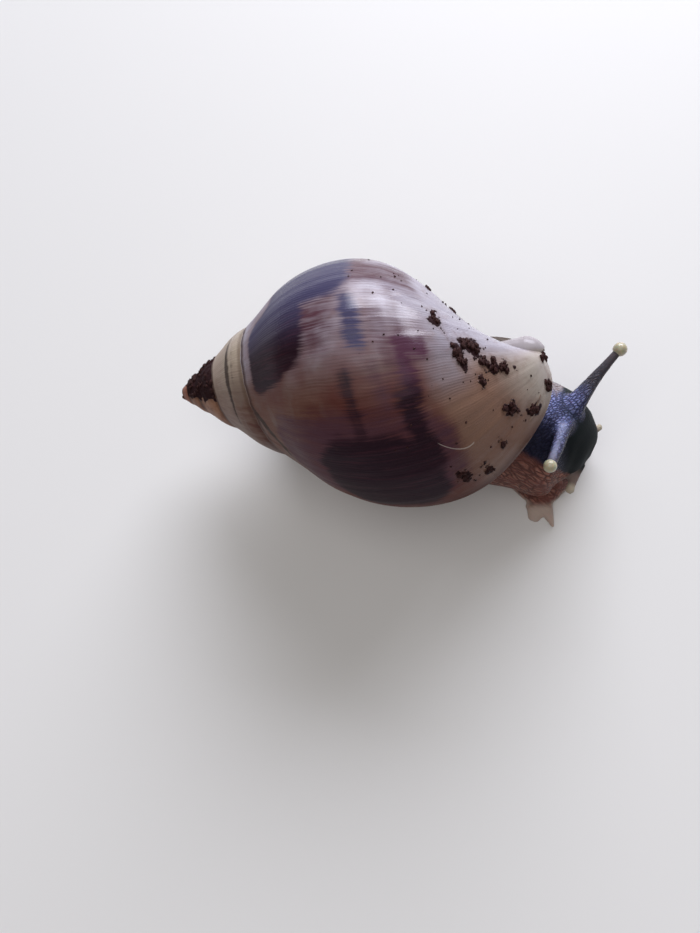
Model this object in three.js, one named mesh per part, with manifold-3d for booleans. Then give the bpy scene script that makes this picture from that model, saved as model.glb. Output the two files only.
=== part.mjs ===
// A young giant African land snail, life size, crawling with its head turned to the right.
//
// Millimetres, +Z up, +X the way the snail crawls, +Y its left side. The sole lies on z = 0.
// The shell is a right-handed spiral: one egg-shaped whorl section grows by a constant factor
// each turn as it winds round the shell's axis. The soft body is a set of lofts: foot, trunk,
// neck with head, and tentacles. Each piece is cut by its neighbours' shapes, grown by GAP.
import * as THREE from "three";
import { ParametricGeometry } from "three/addons/geometries/ParametricGeometry.js";
import { mergeVertices } from "three/addons/utils/BufferGeometryUtils.js";
import Module from "manifold-3d";

// ---- Driving dimensions -------------------------------------------------------------------

const GAP = 0.3;
const SLOT = 0.05;
const FULL_TURN = 2 * Math.PI;

// Shell: the spiral.
const APEX = new THREE.Vector3(-29.63, 0, 13.39);
const AXIS_RISE = THREE.MathUtils.degToRad(9.03);
const AXIS_ROLL = THREE.MathUtils.degToRad(8.65);
const SPIRAL_SCALE = 68.72;
const GROWTH_PER_TURN = 1.7385;

// Shell: the whorl section, in fractions of SPIRAL_SCALE, from the axis and from the apex.
const SECTION_RADIUS = 0.1272;
const SECTION_HEIGHT = 0.5599;
const SECTION_HALF_WIDTH = 0.1639;
const SECTION_HALF_LENGTH = 0.2965;
const SECTION_TILT = 0.0868;
const SECTION_EGG = 0.2018;
const SECTION_THREE_LOBE = 0.093;
const SECTION_FOUR_LOBE = -0.0126;

// Shell: the angles of the section at which it meets the whorl before, the whorl after and
// the axis, all from its outermost point towards the base.
const UPPER_SUTURE_ANGLE = -1.4288;
const LOWER_SUTURE_ANGLE = -0.2645;
const BASE_ANGLE = 2.0825;
const COLUMELLA_ANGLE = 3.4840;

// Shell: over the last turns given, the base is drawn out along the axis to BASE_END_HEIGHT,
// most at BASE_ANGLE and not at all beyond the two angles given.
const BASE_DRAWN_TURNS = [-0.4, -0.12];
const BASE_DRAWN_ANGLES = [1.15, 2.9];
const BASE_END_HEIGHT = 57.4;
const BASE_HEIGHT = 0.8294;

// Shell: where each named length of the spiral starts, in turns before the aperture.
const APEX_START = -5;
const SPIRE_START = -3.5;
const PENULTIMATE_START = -2;
const BODY_START = -1;
const APEX_BALL_RADIUS = 1.2;
const APEX_BALL_HEIGHT = 2.1;
const CORE_RADIUS = 0.3;

// Shell: the callus that closes the base round the axis, as rows of height from the apex and
// radius.
const CALLUS = [
  [38, 0.4],
  [42, 1.5],
  [48, 1.8],
  [52, 1.8],
  [55, 2],
  [56.3, 2.1],
  [57.3, 1.7],
  [58, 1.1],
  [58.5, 0.4],
];

// Shell: the aperture.
const LIP_THICKNESS = 0.8;
const COLUMELLA_RADIUS = 1;
const COLUMELLA_TURNS = 0.5;
const APERTURE_DEPTH_TURNS = 0.05;
const COLLAR_DEPTH_TURNS = 0.045;
const PARIETAL_WALL = 0.5;
const OLD_WHORL_REACH_TURNS = 0.06;

// Soft body: a foot station is x, y, half width, height, from the tail to the front edge.
const FOOT_STATIONS = [
  [-22, 3.4, 0.5, 0.6],
  [-19, 2.8, 2.2, 1.7],
  [-13, 1.4, 4.8, 3],
  [-4, -1, 7, 4.4],
  [6, -3.8, 8.2, 5.6],
  [16, -5.6, 7.8, 6],
  [24, -6.8, 7.2, 6],
  [29.5, -8.6, 9.1, 5.4],
  [32.8, -9.4, 7, 4.2],
  [34.6, -10, 4.6, 2.6],
  [35.4, -10.3, 2, 1],
];
const FRONT_FOLDS = [
  [[27.8, -15.2, 1.7, 1.8], [27.3, -17.3, 1.8, 1.4], [26.9, -18.9, 1.4, 0.9], [26.5, -20.1, 0.7, 0.5]],
  [[28.2, -15.5, 1.7, 1.8], [28.6, -17.6, 1.2, 1.4], [29.1, -19.4, 0.8, 0.9], [29.7, -21.1, 0.3, 0.5]],
];
const TAIL_END_X = -6;
const FOOT_FRONT_X = 17;

// A neck station is x, y, half width, lowest z, z of the widest level, highest z.
const NECK_STATIONS = [
  [10, -6, 6.4, 0.8, 6, 14],
  [17, -6.6, 7.6, 0.8, 5.5, 17],
  [24, -7.3, 8.3, 0.8, 5, 16.8],
  [28.5, -8, 9.1, 0.8, 5, 15.8],
  [31, -8.4, 7.9, 1.2, 5.6, 14.4],
  [33, -9, 6.1, 1.8, 6, 12.5],
  [34.3, -9.5, 4.8, 2.4, 6, 10.6],
  [35.3, -9.9, 3.3, 3.1, 6, 8.8],
  [35.9, -10.2, 1.3, 4.6, 6, 6.9],
];
const HEAD_START = new THREE.Vector3(30.2, -8.6, 8);
const HEADING = THREE.MathUtils.degToRad(-20);

// The trunk runs from the aperture down to an oval in the foot, which lies along the foot.
const TRUNK_INSET = 2.6;
const TRUNK_SETBACK = 1;
const TRUNK_BASE = new THREE.Vector3(4, -3.3, 1.2);
const TRUNK_BASE_HALF_LENGTH = 21;
const TRUNK_BASE_HALF_WIDTH = 7;
const TRUNK_BASE_HEADING = THREE.MathUtils.degToRad(-13);
const TRUNK_WAIST = 0.16;

// Tentacles: path points, radii from root to tip, and the radius of the round tip.
const TENTACLES = {
  left_upper: {
    path: [[31, -6.8, 11], [33.2, -4.5, 12.4], [36.3, -0.9, 13.2], [39.7, 2.7, 14]],
    radii: [2.9, 1.6, 0.9, 0.6],
    tip: 1.05,
  },
  right_upper: {
    path: [[31.3, -7, 11], [30.8, -9.2, 14.2], [29.6, -12.6, 17], [28.2, -15.9, 18.6]],
    radii: [2.4, 1.25, 0.95, 0.75],
    tip: 0.95,
  },
  left_lower: {
    path: [[34, -8.2, 5], [35.4, -7.4, 4.9], [36.4, -6.8, 4.8], [37.2, -6.3, 4.7]],
    radii: [1.2, 0.8, 0.6, 0.5],
    tip: 0.6,
  },
  right_lower: {
    path: [[33.4, -12.2, 5.4], [33, -13.6, 5.2], [32.6, -14.8, 5], [32.1, -16.1, 4.8]],
    radii: [1.3, 0.9, 0.7, 0.6],
    tip: 0.75,
  },
};

// Facets.
const STEPS_PER_TURN = 28;
const TUBE_STEPS = 3;
const BODY_WHORL_SIDES = 18;
const COLUMELLA_SIDES = 6;
const CALLUS_SIDES = 12;
const CALLUS_STEPS = 12;
const SPIRE_SIDES = 8;
const APEX_SIDES = 6;
const FLESH_SIDES = 22;
const FOOT_STEPS = 20;
const FOLD_STEPS = 4;
const FOLD_SIDES = 10;
const NECK_STEPS = 16;
const TRUNK_STEPS = 4;
const TENTACLE_SIDES = 10;
const TENTACLE_STEPS = 8;

// The group is shifted so that its origin is the middle of its footprint box.
const CENTRING = new THREE.Vector3(-6, 2.725, 0);

// Larger than the whole animal, and the place step over which a loft's direction is taken.
const BLOCK_SIZE = 120;
const DIRECTION_STEP = 0.01;

// ---- Solids -------------------------------------------------------------------------------

const wasm = await Module();
wasm.setup();

/** A closed three.js geometry as a solid with its faces turned outwards. */
function toSolid(geometry) {
  const bare = geometry.clone();
  bare.deleteAttribute("normal");
  bare.deleteAttribute("uv");
  const merged = mergeVertices(bare);
  const corners = [];
  for (let i = 0; i < merged.index.count; i += 3) {
    const [a, b, c] = merged.index.array.slice(i, i + 3);
    if (a !== b && b !== c && c !== a) corners.push(a, b, c);
  }
  const build = (order) => new wasm.Manifold(new wasm.Mesh({
    numProp: 3,
    vertProperties: merged.attributes.position.array,
    triVerts: new Uint32Array(order),
  }));
  const solid = build(corners);
  return solid.volume() > 0 ? solid : build(corners.reverse());
}

/** A closed tube through rings of points, each end fanned to its own middle point. */
function loft(rings, firstMiddle, lastMiddle) {
  const sides = rings[0].length;
  const stacks = rings.length + 1;
  const surface = (u, v, target) => {
    const ring = Math.round(v * stacks) - 1;
    if (ring < 0) target.copy(firstMiddle);
    else if (ring === rings.length) target.copy(lastMiddle);
    else target.copy(rings[ring][Math.round(u * sides) % sides]);
  };
  return toSolid(new ParametricGeometry(surface, sides, stacks));
}

const join = (solids) => solids.reduce((whole, solid) => whole.add(solid));
const cut = (solid, tools) => tools.reduce((rest, tool) => rest.subtract(tool), solid);
const count = (n, make) => Array.from({ length: n }, (_, i) => make(i));

/** The largest closed surface of a solid: hollows sealed inside it are filled. */
function outerSurface(solid) {
  const surfaces = solid.decompose();
  return surfaces.reduce((largest, one) => (one.volume() > largest.volume() ? one : largest));
}

/** Smooth values between rows of numbers, at a place from 0 to 1 along the rows. */
function valuesAlong(rows, place) {
  const last = rows.length - 1;
  const i = Math.min(Math.floor(place * last), last - 1);
  const w = place * last - i;
  const row = (k) => rows[THREE.MathUtils.clamp(k, 0, last)];
  return rows[0].map((_, column) => {
    const [a, b, c, d] = [row(i - 1), row(i), row(i + 1), row(i + 2)].map((r) => r[column]);
    const bend = 2 * a - 5 * b + 4 * c - d + w * (3 * (b - c) + d - a);
    return b + 0.5 * w * (c - a + w * bend);
  });
}

// ---- Shell --------------------------------------------------------------------------------

const axis = new THREE.Vector3(Math.cos(AXIS_RISE), 0, Math.sin(AXIS_RISE));
const outward = new THREE.Vector3(0, -1, 0).applyAxisAngle(axis, AXIS_ROLL);
const facing = axis.clone().cross(outward);

/** A point at a turn, a radius from the axis and a height from the apex. */
function spiralPoint(turn, radius, height) {
  const theta = turn * FULL_TURN;
  return APEX.clone()
    .addScaledVector(outward, radius * Math.cos(theta))
    .addScaledVector(facing, radius * Math.sin(theta))
    .addScaledVector(axis, height);
}

/** The direction in which the whorl grows at a turn. */
function growthDirection(turn) {
  const theta = turn * FULL_TURN;
  return facing.clone().multiplyScalar(Math.cos(theta)).addScaledVector(outward, -Math.sin(theta));
}

/** How far the base is drawn out along the axis at a turn and an angle. */
function baseDraw(turn, angle) {
  const [firstAngle, lastAngle] = BASE_DRAWN_ANGLES;
  const drawn = BASE_END_HEIGHT - SPIRAL_SCALE * BASE_HEIGHT * GROWTH_PER_TURN ** turn;
  return drawn * THREE.MathUtils.smoothstep(turn, ...BASE_DRAWN_TURNS)
    * THREE.MathUtils.smoothstep(angle, firstAngle, BASE_ANGLE)
    * (1 - THREE.MathUtils.smoothstep(angle, BASE_ANGLE, lastAngle));
}

/** Radius and height of the egg-shaped section at a turn and an angle, grown outwards by grow. */
function sectionPoint(turn, angle, grow) {
  const lobes = 1 + SECTION_THREE_LOBE * Math.cos(3 * angle) + SECTION_FOUR_LOBE * Math.sin(4 * angle);
  const x = Math.cos(angle) * lobes;
  const y = Math.sin(angle) * lobes;
  const scale = SPIRAL_SCALE * GROWTH_PER_TURN ** turn;
  const wide = scale * SECTION_HALF_WIDTH * x * (1 + SECTION_EGG * y);
  const long = scale * SECTION_HALF_LENGTH * y;
  const swell = 1 + grow / Math.hypot(wide, long);
  const across = wide * Math.cos(SECTION_TILT) - long * Math.sin(SECTION_TILT);
  const down = wide * Math.sin(SECTION_TILT) + long * Math.cos(SECTION_TILT);
  return {
    radius: scale * SECTION_RADIUS + swell * across,
    height: scale * SECTION_HEIGHT + swell * down + baseDraw(turn, angle),
  };
}

/** The whole section as a ring of points, kept clear of the axis. */
function sectionRing(turn, grow, clear) {
  return count(FLESH_SIDES, (i) => {
    const { radius, height } = sectionPoint(turn, (i / FLESH_SIDES) * FULL_TURN, grow);
    return spiralPoint(turn, Math.max(radius, clear), height);
  });
}

/** The middle of the whole section at a turn. */
function sectionMiddle(turn) {
  const scale = SPIRAL_SCALE * GROWTH_PER_TURN ** turn;
  return spiralPoint(turn, scale * SECTION_RADIUS, scale * SECTION_HEIGHT);
}

/** A short stretch of the whole section as a solid, run on past its end by overrun. */
function sectionTube(from, to, { grow, clear, overrun = 0 }) {
  const rings = count(TUBE_STEPS + 1, (step) => {
    return sectionRing(THREE.MathUtils.lerp(from, to, step / TUBE_STEPS), grow, clear);
  });
  const runOn = growthDirection(to).multiplyScalar(overrun);
  if (overrun) rings.push(rings[TUBE_STEPS].map((point) => point.clone().add(runOn)));
  return loft(rings, sectionMiddle(from), sectionMiddle(to).add(runOn));
}

/**
 * The visible share of a section as a ring: from the suture over the outer face to endAngle,
 * and back along the axis. Slot holds it off the whorl before.
 */
function whorlRing(turn, { grow, slot, sides, endAngle }) {
  const outer = count(sides, (i) => {
    return sectionPoint(turn, THREE.MathUtils.lerp(UPPER_SUTURE_ANGLE, endAngle, i / (sides - 1)), grow);
  });
  outer[0].height += slot;
  const axisPoints = [outer[sides - 1], outer[0]].map(({ height }) => ({ radius: 0, height }));
  return [...outer, ...axisPoints].map(({ radius, height }) => {
    return spiralPoint(turn, Math.max(radius, CORE_RADIUS), height);
  });
}

/** The middle of a ring of points. */
function middleOf(ring) {
  return ring.reduce((sum, point) => sum.add(point), new THREE.Vector3()).divideScalar(ring.length);
}

/**
 * A stretch of the spiral as one solid. Its start and its first turn stand off the whorl before
 * by GAP, and its later turns stand off its own by SLOT.
 */
function whorls(from, to, { sides = SPIRE_SIDES, endAngle = LOWER_SUTURE_ANGLE } = {}) {
  const steps = Math.round((to - from) * STEPS_PER_TURN);
  const rings = count(steps + 1, (step) => {
    const turn = from + step / STEPS_PER_TURN;
    return whorlRing(turn, { grow: 0, slot: turn - from < 1 ? GAP : SLOT, sides, endAngle });
  });
  rings[0].forEach((point) => point.addScaledVector(growthDirection(from), GAP));
  return loft(rings, middleOf(rings[0]), middleOf(rings[steps]));
}

/** The same stretch grown by GAP, and run on past its end, to cut the flesh that it lies on. */
function whorlsGrown(from, to, { sides = SPIRE_SIDES, endAngle = LOWER_SUTURE_ANGLE } = {}) {
  const half = (start, end) => {
    const steps = Math.round((end - start) * STEPS_PER_TURN);
    const rings = count(steps + 1, (step) => {
      return whorlRing(start + step / STEPS_PER_TURN, { grow: GAP, slot: 0, sides, endAngle });
    });
    rings.push(rings[steps].map((point) => point.clone().addScaledVector(growthDirection(end), GAP)));
    return loft(rings, middleOf(rings[0]), middleOf(rings[steps + 1]));
  };
  const middle = (from + to) / 2;
  return half(from, middle).add(half(middle, to));
}

/**
 * The columella: the share of the last sections that passes beyond the axis, as a twisted
 * pillar beside the aperture.
 */
function columella(grow = 0, overrun = 0) {
  const steps = Math.round(COLUMELLA_TURNS * STEPS_PER_TURN);
  const rings = count(steps + 1, (step) => {
    const turn = step / STEPS_PER_TURN - COLUMELLA_TURNS;
    return count(COLUMELLA_SIDES, (i) => {
      const angle = THREE.MathUtils.lerp(BASE_ANGLE, COLUMELLA_ANGLE, i / (COLUMELLA_SIDES - 1));
      const { radius, height } = sectionPoint(turn, angle, grow);
      return spiralPoint(turn, Math.min(radius, -SLOT), height);
    });
  });
  if (overrun) rings.push(rings[steps].map((point) => point.clone().addScaledVector(facing, overrun)));
  return loft(rings, middleOf(rings[0]), middleOf(rings[rings.length - 1]));
}

/** The callus: rings about the axis whose radius runs through the rows of CALLUS. */
function callus(grow = 0) {
  const rings = count(CALLUS_STEPS + 1, (step) => {
    const [height, radius] = valuesAlong(CALLUS, step / CALLUS_STEPS);
    return count(CALLUS_SIDES, (i) => spiralPoint(i / CALLUS_SIDES, radius + grow, height));
  });
  const beyond = axis.clone().multiplyScalar(grow);
  return loft(rings, middleOf(rings[0]), middleOf(rings[CALLUS_STEPS]).add(beyond));
}

const bodySection = { sides: BODY_WHORL_SIDES, endAngle: BASE_ANGLE };

/** The whorl before the aperture, which closes its inner side. */
function oldWhorl(grow) {
  const from = BODY_START - OLD_WHORL_REACH_TURNS;
  const to = BODY_START + OLD_WHORL_REACH_TURNS;
  return sectionTube(from, to, { grow, clear: 0 });
}

const pocket = sectionTube(-APERTURE_DEPTH_TURNS, 0, {
  grow: -LIP_THICKNESS,
  clear: COLUMELLA_RADIUS,
  overrun: GAP / 2,
}).subtract(oldWhorl(PARIETAL_WALL));
const collar = sectionTube(-COLLAR_DEPTH_TURNS, 0, {
  grow: -LIP_THICKNESS - GAP,
  clear: COLUMELLA_RADIUS + GAP,
}).subtract(oldWhorl(PARIETAL_WALL + GAP)).subtract(callus(GAP));

const apexBall = new THREE.IcosahedronGeometry(APEX_BALL_RADIUS, 1);
apexBall.translate(...spiralPoint(0, 0, APEX_BALL_HEIGHT));
const apexWhorls = outerSurface(
  whorls(APEX_START, SPIRE_START, { sides: APEX_SIDES }).add(toSolid(apexBall)),
);
const spireWhorls = whorls(SPIRE_START, PENULTIMATE_START);
const penultimateWhorl = whorls(PENULTIMATE_START, BODY_START);
const hollowWhorl = whorls(BODY_START, 0, bodySection).add(columella()).subtract(pocket);
const bodyWhorl = outerSurface(hollowWhorl.add(callus()));

const shellGrown = [
  columella(GAP, GAP),
  callus(GAP),
  whorlsGrown(BODY_START, 0, bodySection),
  whorlsGrown(PENULTIMATE_START, BODY_START),
  whorlsGrown(PENULTIMATE_START - 1, PENULTIMATE_START),
];

// ---- Soft body ----------------------------------------------------------------------------

/** The sideways direction, to the left, of rows whose first two numbers are x and y. */
function leftOf(rows, place) {
  const [x0, y0] = valuesAlong(rows, Math.max(place - DIRECTION_STEP, 0));
  const [x1, y1] = valuesAlong(rows, Math.min(place + DIRECTION_STEP, 1));
  return new THREE.Vector3(y0 - y1, x1 - x0, 0).normalize();
}

/** A flat sole with an arched back, along stations of x, y, half width and height. */
function soleLoft(stations, steps, sides, grow) {
  const rings = count(steps + 1, (step) => {
    const place = step / steps;
    const [x, y, halfWidth, height] = valuesAlong(stations, place);
    return count(sides, (i) => {
      const angle = (i / sides) * FULL_TURN;
      const rise = Math.max(Math.sin(angle), 0);
      return new THREE.Vector3(x, y, (height + grow) * rise)
        .addScaledVector(leftOf(stations, place), (halfWidth + grow) * Math.cos(angle));
    });
  });
  return loft(rings, middleOf(rings[0]), middleOf(rings[steps]));
}

/** The foot, with the two pointed folds at its right front corner. */
function footLoft(grow = 0) {
  const folds = FRONT_FOLDS.map((stations) => soleLoft(stations, FOLD_STEPS, FOLD_SIDES, grow));
  return join([soleLoft(FOOT_STATIONS, FOOT_STEPS, FLESH_SIDES, grow), ...folds]);
}

/** The neck and head: an egg-shaped section that narrows to the snout. */
function neckLoft(grow = 0) {
  const rings = count(NECK_STEPS + 1, (step) => {
    const place = step / NECK_STEPS;
    const [x, y, halfWidth, low, widest, high] = valuesAlong(NECK_STATIONS, place);
    return count(FLESH_SIDES, (i) => {
      const angle = (i / FLESH_SIDES) * FULL_TURN;
      const rise = (Math.sin(angle) > 0 ? high - widest : widest - low) + grow;
      return new THREE.Vector3(x, y, widest + rise * Math.sin(angle))
        .addScaledVector(leftOf(NECK_STATIONS, place), (halfWidth + grow) * Math.cos(angle));
    });
  });
  return loft(rings, middleOf(rings[0]), middleOf(rings[NECK_STEPS]));
}

/** The trunk: from just inside the aperture down to an oval on the foot. */
function trunkLoft(grow = 0) {
  const topRing = sectionRing(0, grow - TRUNK_INSET, COLUMELLA_RADIUS);
  const upright = new THREE.Vector3(0, 0, 1);
  const rings = count(TRUNK_STEPS + 1, (step) => topRing.map((point, i) => {
    const angle = (i / FLESH_SIDES) * FULL_TURN;
    const along = (TRUNK_BASE_HALF_LENGTH + grow) * Math.sin(angle);
    const across = -(TRUNK_BASE_HALF_WIDTH + grow) * Math.cos(angle);
    const low = new THREE.Vector3(along, across, 0).applyAxisAngle(upright, TRUNK_BASE_HEADING);
    const high = point.clone().addScaledVector(facing, -TRUNK_SETBACK);
    return high.lerp(low.add(TRUNK_BASE), step / TRUNK_STEPS);
  }));
  rings.forEach((ring, step) => {
    const middle = middleOf(ring);
    const waist = TRUNK_WAIST * Math.sin((Math.PI * step) / TRUNK_STEPS);
    ring.forEach((point) => point.lerp(middle, waist));
  });
  return loft(rings, middleOf(rings[0]), middleOf(rings[TRUNK_STEPS]));
}

/** A tentacle: a round taper along its path. */
function tentacleLoft({ path, radii }) {
  const curve = new THREE.CatmullRomCurve3(path.map((point) => new THREE.Vector3(...point)));
  const frames = curve.computeFrenetFrames(TENTACLE_STEPS, false);
  const rings = count(TENTACLE_STEPS + 1, (step) => {
    const [radius] = valuesAlong(radii.map((r) => [r]), step / TENTACLE_STEPS);
    return count(TENTACLE_SIDES, (i) => {
      const angle = (i / TENTACLE_SIDES) * FULL_TURN;
      return curve.getPointAt(step / TENTACLE_STEPS)
        .addScaledVector(frames.normals[step], radius * Math.cos(angle))
        .addScaledVector(frames.binormals[step], radius * Math.sin(angle));
    });
  });
  return loft(rings, middleOf(rings[0]), middleOf(rings[TENTACLE_STEPS]));
}

/** The round tip of a tentacle. */
function tentacleTip({ path, tip }, grow = 0) {
  const ball = new THREE.IcosahedronGeometry(tip + grow, 1);
  ball.translate(...path[path.length - 1]);
  return toSolid(ball);
}

/** Everything ahead of an upright plane, as a large block. */
function aheadOf(x, y, heading) {
  const block = new THREE.BoxGeometry(BLOCK_SIZE, BLOCK_SIZE, BLOCK_SIZE);
  block.translate(BLOCK_SIZE / 2, 0, 0);
  block.rotateZ(heading);
  block.translate(x, y, 0);
  return toSolid(block);
}

/** A solid parted by a thin upright cut: [the part behind, the part ahead]. */
function partAt(solid, x, y, heading = 0) {
  const block = aheadOf(x, y, heading);
  const halfGap = [Math.cos(heading) * (GAP / 2), Math.sin(heading) * (GAP / 2), 0];
  return [
    solid.subtract(block.translate(halfGap.map((d) => -d))),
    solid.intersect(block.translate(halfGap)),
  ];
}

const foot = cut(footLoft(), shellGrown);
const trunk = cut(trunkLoft(), [...shellGrown, footLoft(GAP)]);
const neckAndHead = cut(neckLoft(), [...shellGrown, footLoft(GAP), trunkLoft(GAP)]);
const [footTail, footRest] = partAt(foot, TAIL_END_X, 0);
const [footMiddle, footFront] = partAt(footRest, FOOT_FRONT_X, 0);
const [neck, head] = partAt(neckAndHead, HEAD_START.x, HEAD_START.y, HEADING);

const solids = {
  shell_apex: apexWhorls,
  shell_spire: spireWhorls,
  shell_penultimate_whorl: penultimateWhorl,
  shell_body_whorl: bodyWhorl,
  mantle_collar: collar,
  foot_tail: footTail,
  foot_middle: footMiddle,
  foot_front: footFront,
  trunk,
  neck,
  head,
};
for (const side of ["left", "right"]) {
  const upper = TENTACLES[`${side}_upper`];
  const lower = TENTACLES[`${side}_lower`];
  solids[`${side}_upper_tentacle`] = cut(tentacleLoft(upper), [neckLoft(GAP), tentacleTip(upper, GAP)]);
  solids[`${side}_eye`] = tentacleTip(upper);
  solids[`${side}_lower_tentacle`] = cut(join([tentacleLoft(lower), tentacleTip(lower)]), [neckLoft(GAP)]);
}

// ---- Scene graph --------------------------------------------------------------------------

const SHELL_LOOKS = { color: 0xc9b997, roughness: 0.3, metalness: 0 };
const SOILED_SHELL_LOOKS = { color: 0x7d5440, roughness: 0.7, metalness: 0 };
const DARK_FLESH_LOOKS = { color: 0x2c2b33, roughness: 0.35, metalness: 0 };
const BROWN_FLESH_LOOKS = { color: 0x6d5346, roughness: 0.45, metalness: 0 };
const PALE_FLESH_LOOKS = { color: 0xb9a48f, roughness: 0.45, metalness: 0 };
const looks = {
  shell_apex: SOILED_SHELL_LOOKS,
  shell_spire: SOILED_SHELL_LOOKS,
  shell_penultimate_whorl: SHELL_LOOKS,
  shell_body_whorl: SHELL_LOOKS,
  mantle_collar: PALE_FLESH_LOOKS,
  foot_tail: BROWN_FLESH_LOOKS,
  foot_middle: BROWN_FLESH_LOOKS,
  foot_front: PALE_FLESH_LOOKS,
  trunk: BROWN_FLESH_LOOKS,
  neck: BROWN_FLESH_LOOKS,
  head: DARK_FLESH_LOOKS,
  left_upper_tentacle: DARK_FLESH_LOOKS,
  left_eye: PALE_FLESH_LOOKS,
  left_lower_tentacle: PALE_FLESH_LOOKS,
  right_upper_tentacle: DARK_FLESH_LOOKS,
  right_eye: PALE_FLESH_LOOKS,
  right_lower_tentacle: PALE_FLESH_LOOKS,
};

/** A solid as a three.js geometry. */
function toGeometry(solid) {
  const { vertProperties, triVerts } = solid.getMesh();
  const geometry = new THREE.BufferGeometry();
  geometry.setAttribute("position", new THREE.BufferAttribute(vertProperties, 3));
  geometry.setIndex(new THREE.BufferAttribute(triVerts, 1));
  geometry.computeVertexNormals();
  return geometry;
}

const snail = new THREE.Group();
snail.position.copy(CENTRING);
for (const [name, solid] of Object.entries(solids)) {
  const mesh = new THREE.Mesh(toGeometry(solid), new THREE.MeshStandardMaterial(looks[name]));
  mesh.name = name;
  snail.add(mesh);
}

export default snail;
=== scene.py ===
"""A young giant African land snail, life size, dressed over its solid frame.

Points are worked out in millimetres as whole numpy arrays and put into the meshes in metres.
+X is the way the snail crawls, +Y its left side, +Z up, and the sole lies on z = 0.
"""

import math

import bpy
import numpy as np
from bpy.props import FloatProperty, FloatVectorProperty, IntProperty, PointerProperty
from bpy.types import Operator, Panel, PropertyGroup
from mathutils import Matrix, Vector


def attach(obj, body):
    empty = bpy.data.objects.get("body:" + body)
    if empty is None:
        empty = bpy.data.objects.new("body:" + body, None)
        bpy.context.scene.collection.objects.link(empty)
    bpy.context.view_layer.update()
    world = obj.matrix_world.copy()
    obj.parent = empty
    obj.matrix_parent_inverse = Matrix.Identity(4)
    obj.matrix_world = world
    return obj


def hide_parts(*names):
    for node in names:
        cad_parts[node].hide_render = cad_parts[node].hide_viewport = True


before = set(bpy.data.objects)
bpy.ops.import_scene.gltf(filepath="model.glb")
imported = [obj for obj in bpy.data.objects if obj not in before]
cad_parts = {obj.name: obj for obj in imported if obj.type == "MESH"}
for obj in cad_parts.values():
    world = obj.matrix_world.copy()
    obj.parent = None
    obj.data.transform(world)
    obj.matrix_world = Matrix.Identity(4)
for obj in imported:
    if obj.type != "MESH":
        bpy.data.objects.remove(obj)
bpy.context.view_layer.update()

bl_info = {
    "name": "Giant Land Snail",
    "version": (1, 0, 0),
    "blender": (4, 5, 0),
    "location": "3D View > Sidebar > Snail",
    "description": "Builds a crawling giant land snail with a ribbed spiral shell and moist skin",
    "category": "Add Mesh",
}

MM = 0.001
FULL_TURN = 2 * math.pi
SEED = 7

# The shift from the crawling frame, in which the sizes below are written, to the part's frame.
CENTRING = np.array([-6.0, 2.725, 0.0])

# ---- Shell sizes, in millimetres and in fractions of the spiral's scale ----------------------

APEX = np.array([-29.63, 0.0, 13.39])
AXIS_RISE = math.radians(9.03)
AXIS_ROLL = math.radians(8.65)
SPIRAL_SCALE = 68.72
GROWTH_PER_TURN = 1.7385
SECTION_RADIUS = 0.1272
SECTION_HEIGHT = 0.5599
SECTION_HALF_WIDTH = 0.1639
SECTION_HALF_LENGTH = 0.2965
SECTION_TILT = 0.0868
SECTION_EGG = 0.2018
SECTION_THREE_LOBE = 0.093
SECTION_FOUR_LOBE = -0.0126

# Angles of the section, from its outermost point towards the base.
UPPER_SUTURE = -1.4288
LOWER_SUTURE = -0.2645
SUTURE_OVERLAP = 0.14

# Lengths of the spiral, in turns before the aperture.
APEX_TURN = -5.0
BODY_TURN = -1.0
LIP_BACK_TURN = -0.2
LIP_THICKNESS = 0.7
CORE_RADIUS = 0.3
SHELL_INSET = 0.09
CALLUS_ANGLE = 1.9

# Over the last turns given, the base is drawn out along the axis to BASE_END_HEIGHT, most at
# BASE_ANGLE and not at all beyond the two angles given.
BASE_ANGLE = 2.0825
BASE_DRAWN_TURNS = (-0.4, -0.12)
BASE_DRAWN_ANGLES = (1.15, 2.9)
BASE_END_HEIGHT = 57.4
BASE_HEIGHT = 0.8294

# Height from the apex and radius of the callus that closes the base round the axis.
CALLUS = ((38, 0.4), (42, 1.5), (48, 1.8), (52, 1.8), (55, 2), (56.3, 2.1), (57.3, 1.7),
          (58, 1.1), (58.5, 0.4))

# ---- Soft body sizes, in millimetres ---------------------------------------------------------

# x, y, half width, height
FOOT_STATIONS = (
    (-22, 3.4, 0.5, 0.6),
    (-19, 2.8, 2.2, 1.7),
    (-13, 1.4, 4.8, 3),
    (-4, -1, 7, 4.4),
    (6, -3.8, 8.2, 5.6),
    (16, -5.6, 7.8, 6),
    (24, -6.8, 7.2, 6),
    (29.5, -8.6, 9.1, 5.4),
    (32.8, -9.4, 7, 4.2),
    (34.6, -10, 4.6, 2.6),
    (35.4, -10.3, 2, 1),
)
FRONT_FOLDS = (
    ((27.8, -15.2, 1.7, 1.8), (27.3, -17.3, 1.8, 1.4),
     (26.9, -18.9, 1.4, 0.9), (26.5, -20.1, 0.7, 0.5)),
    ((28.2, -15.5, 1.7, 1.8), (28.6, -17.6, 1.2, 1.4),
     (29.1, -19.4, 0.8, 0.9), (29.7, -21.1, 0.3, 0.5)),
)
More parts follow.
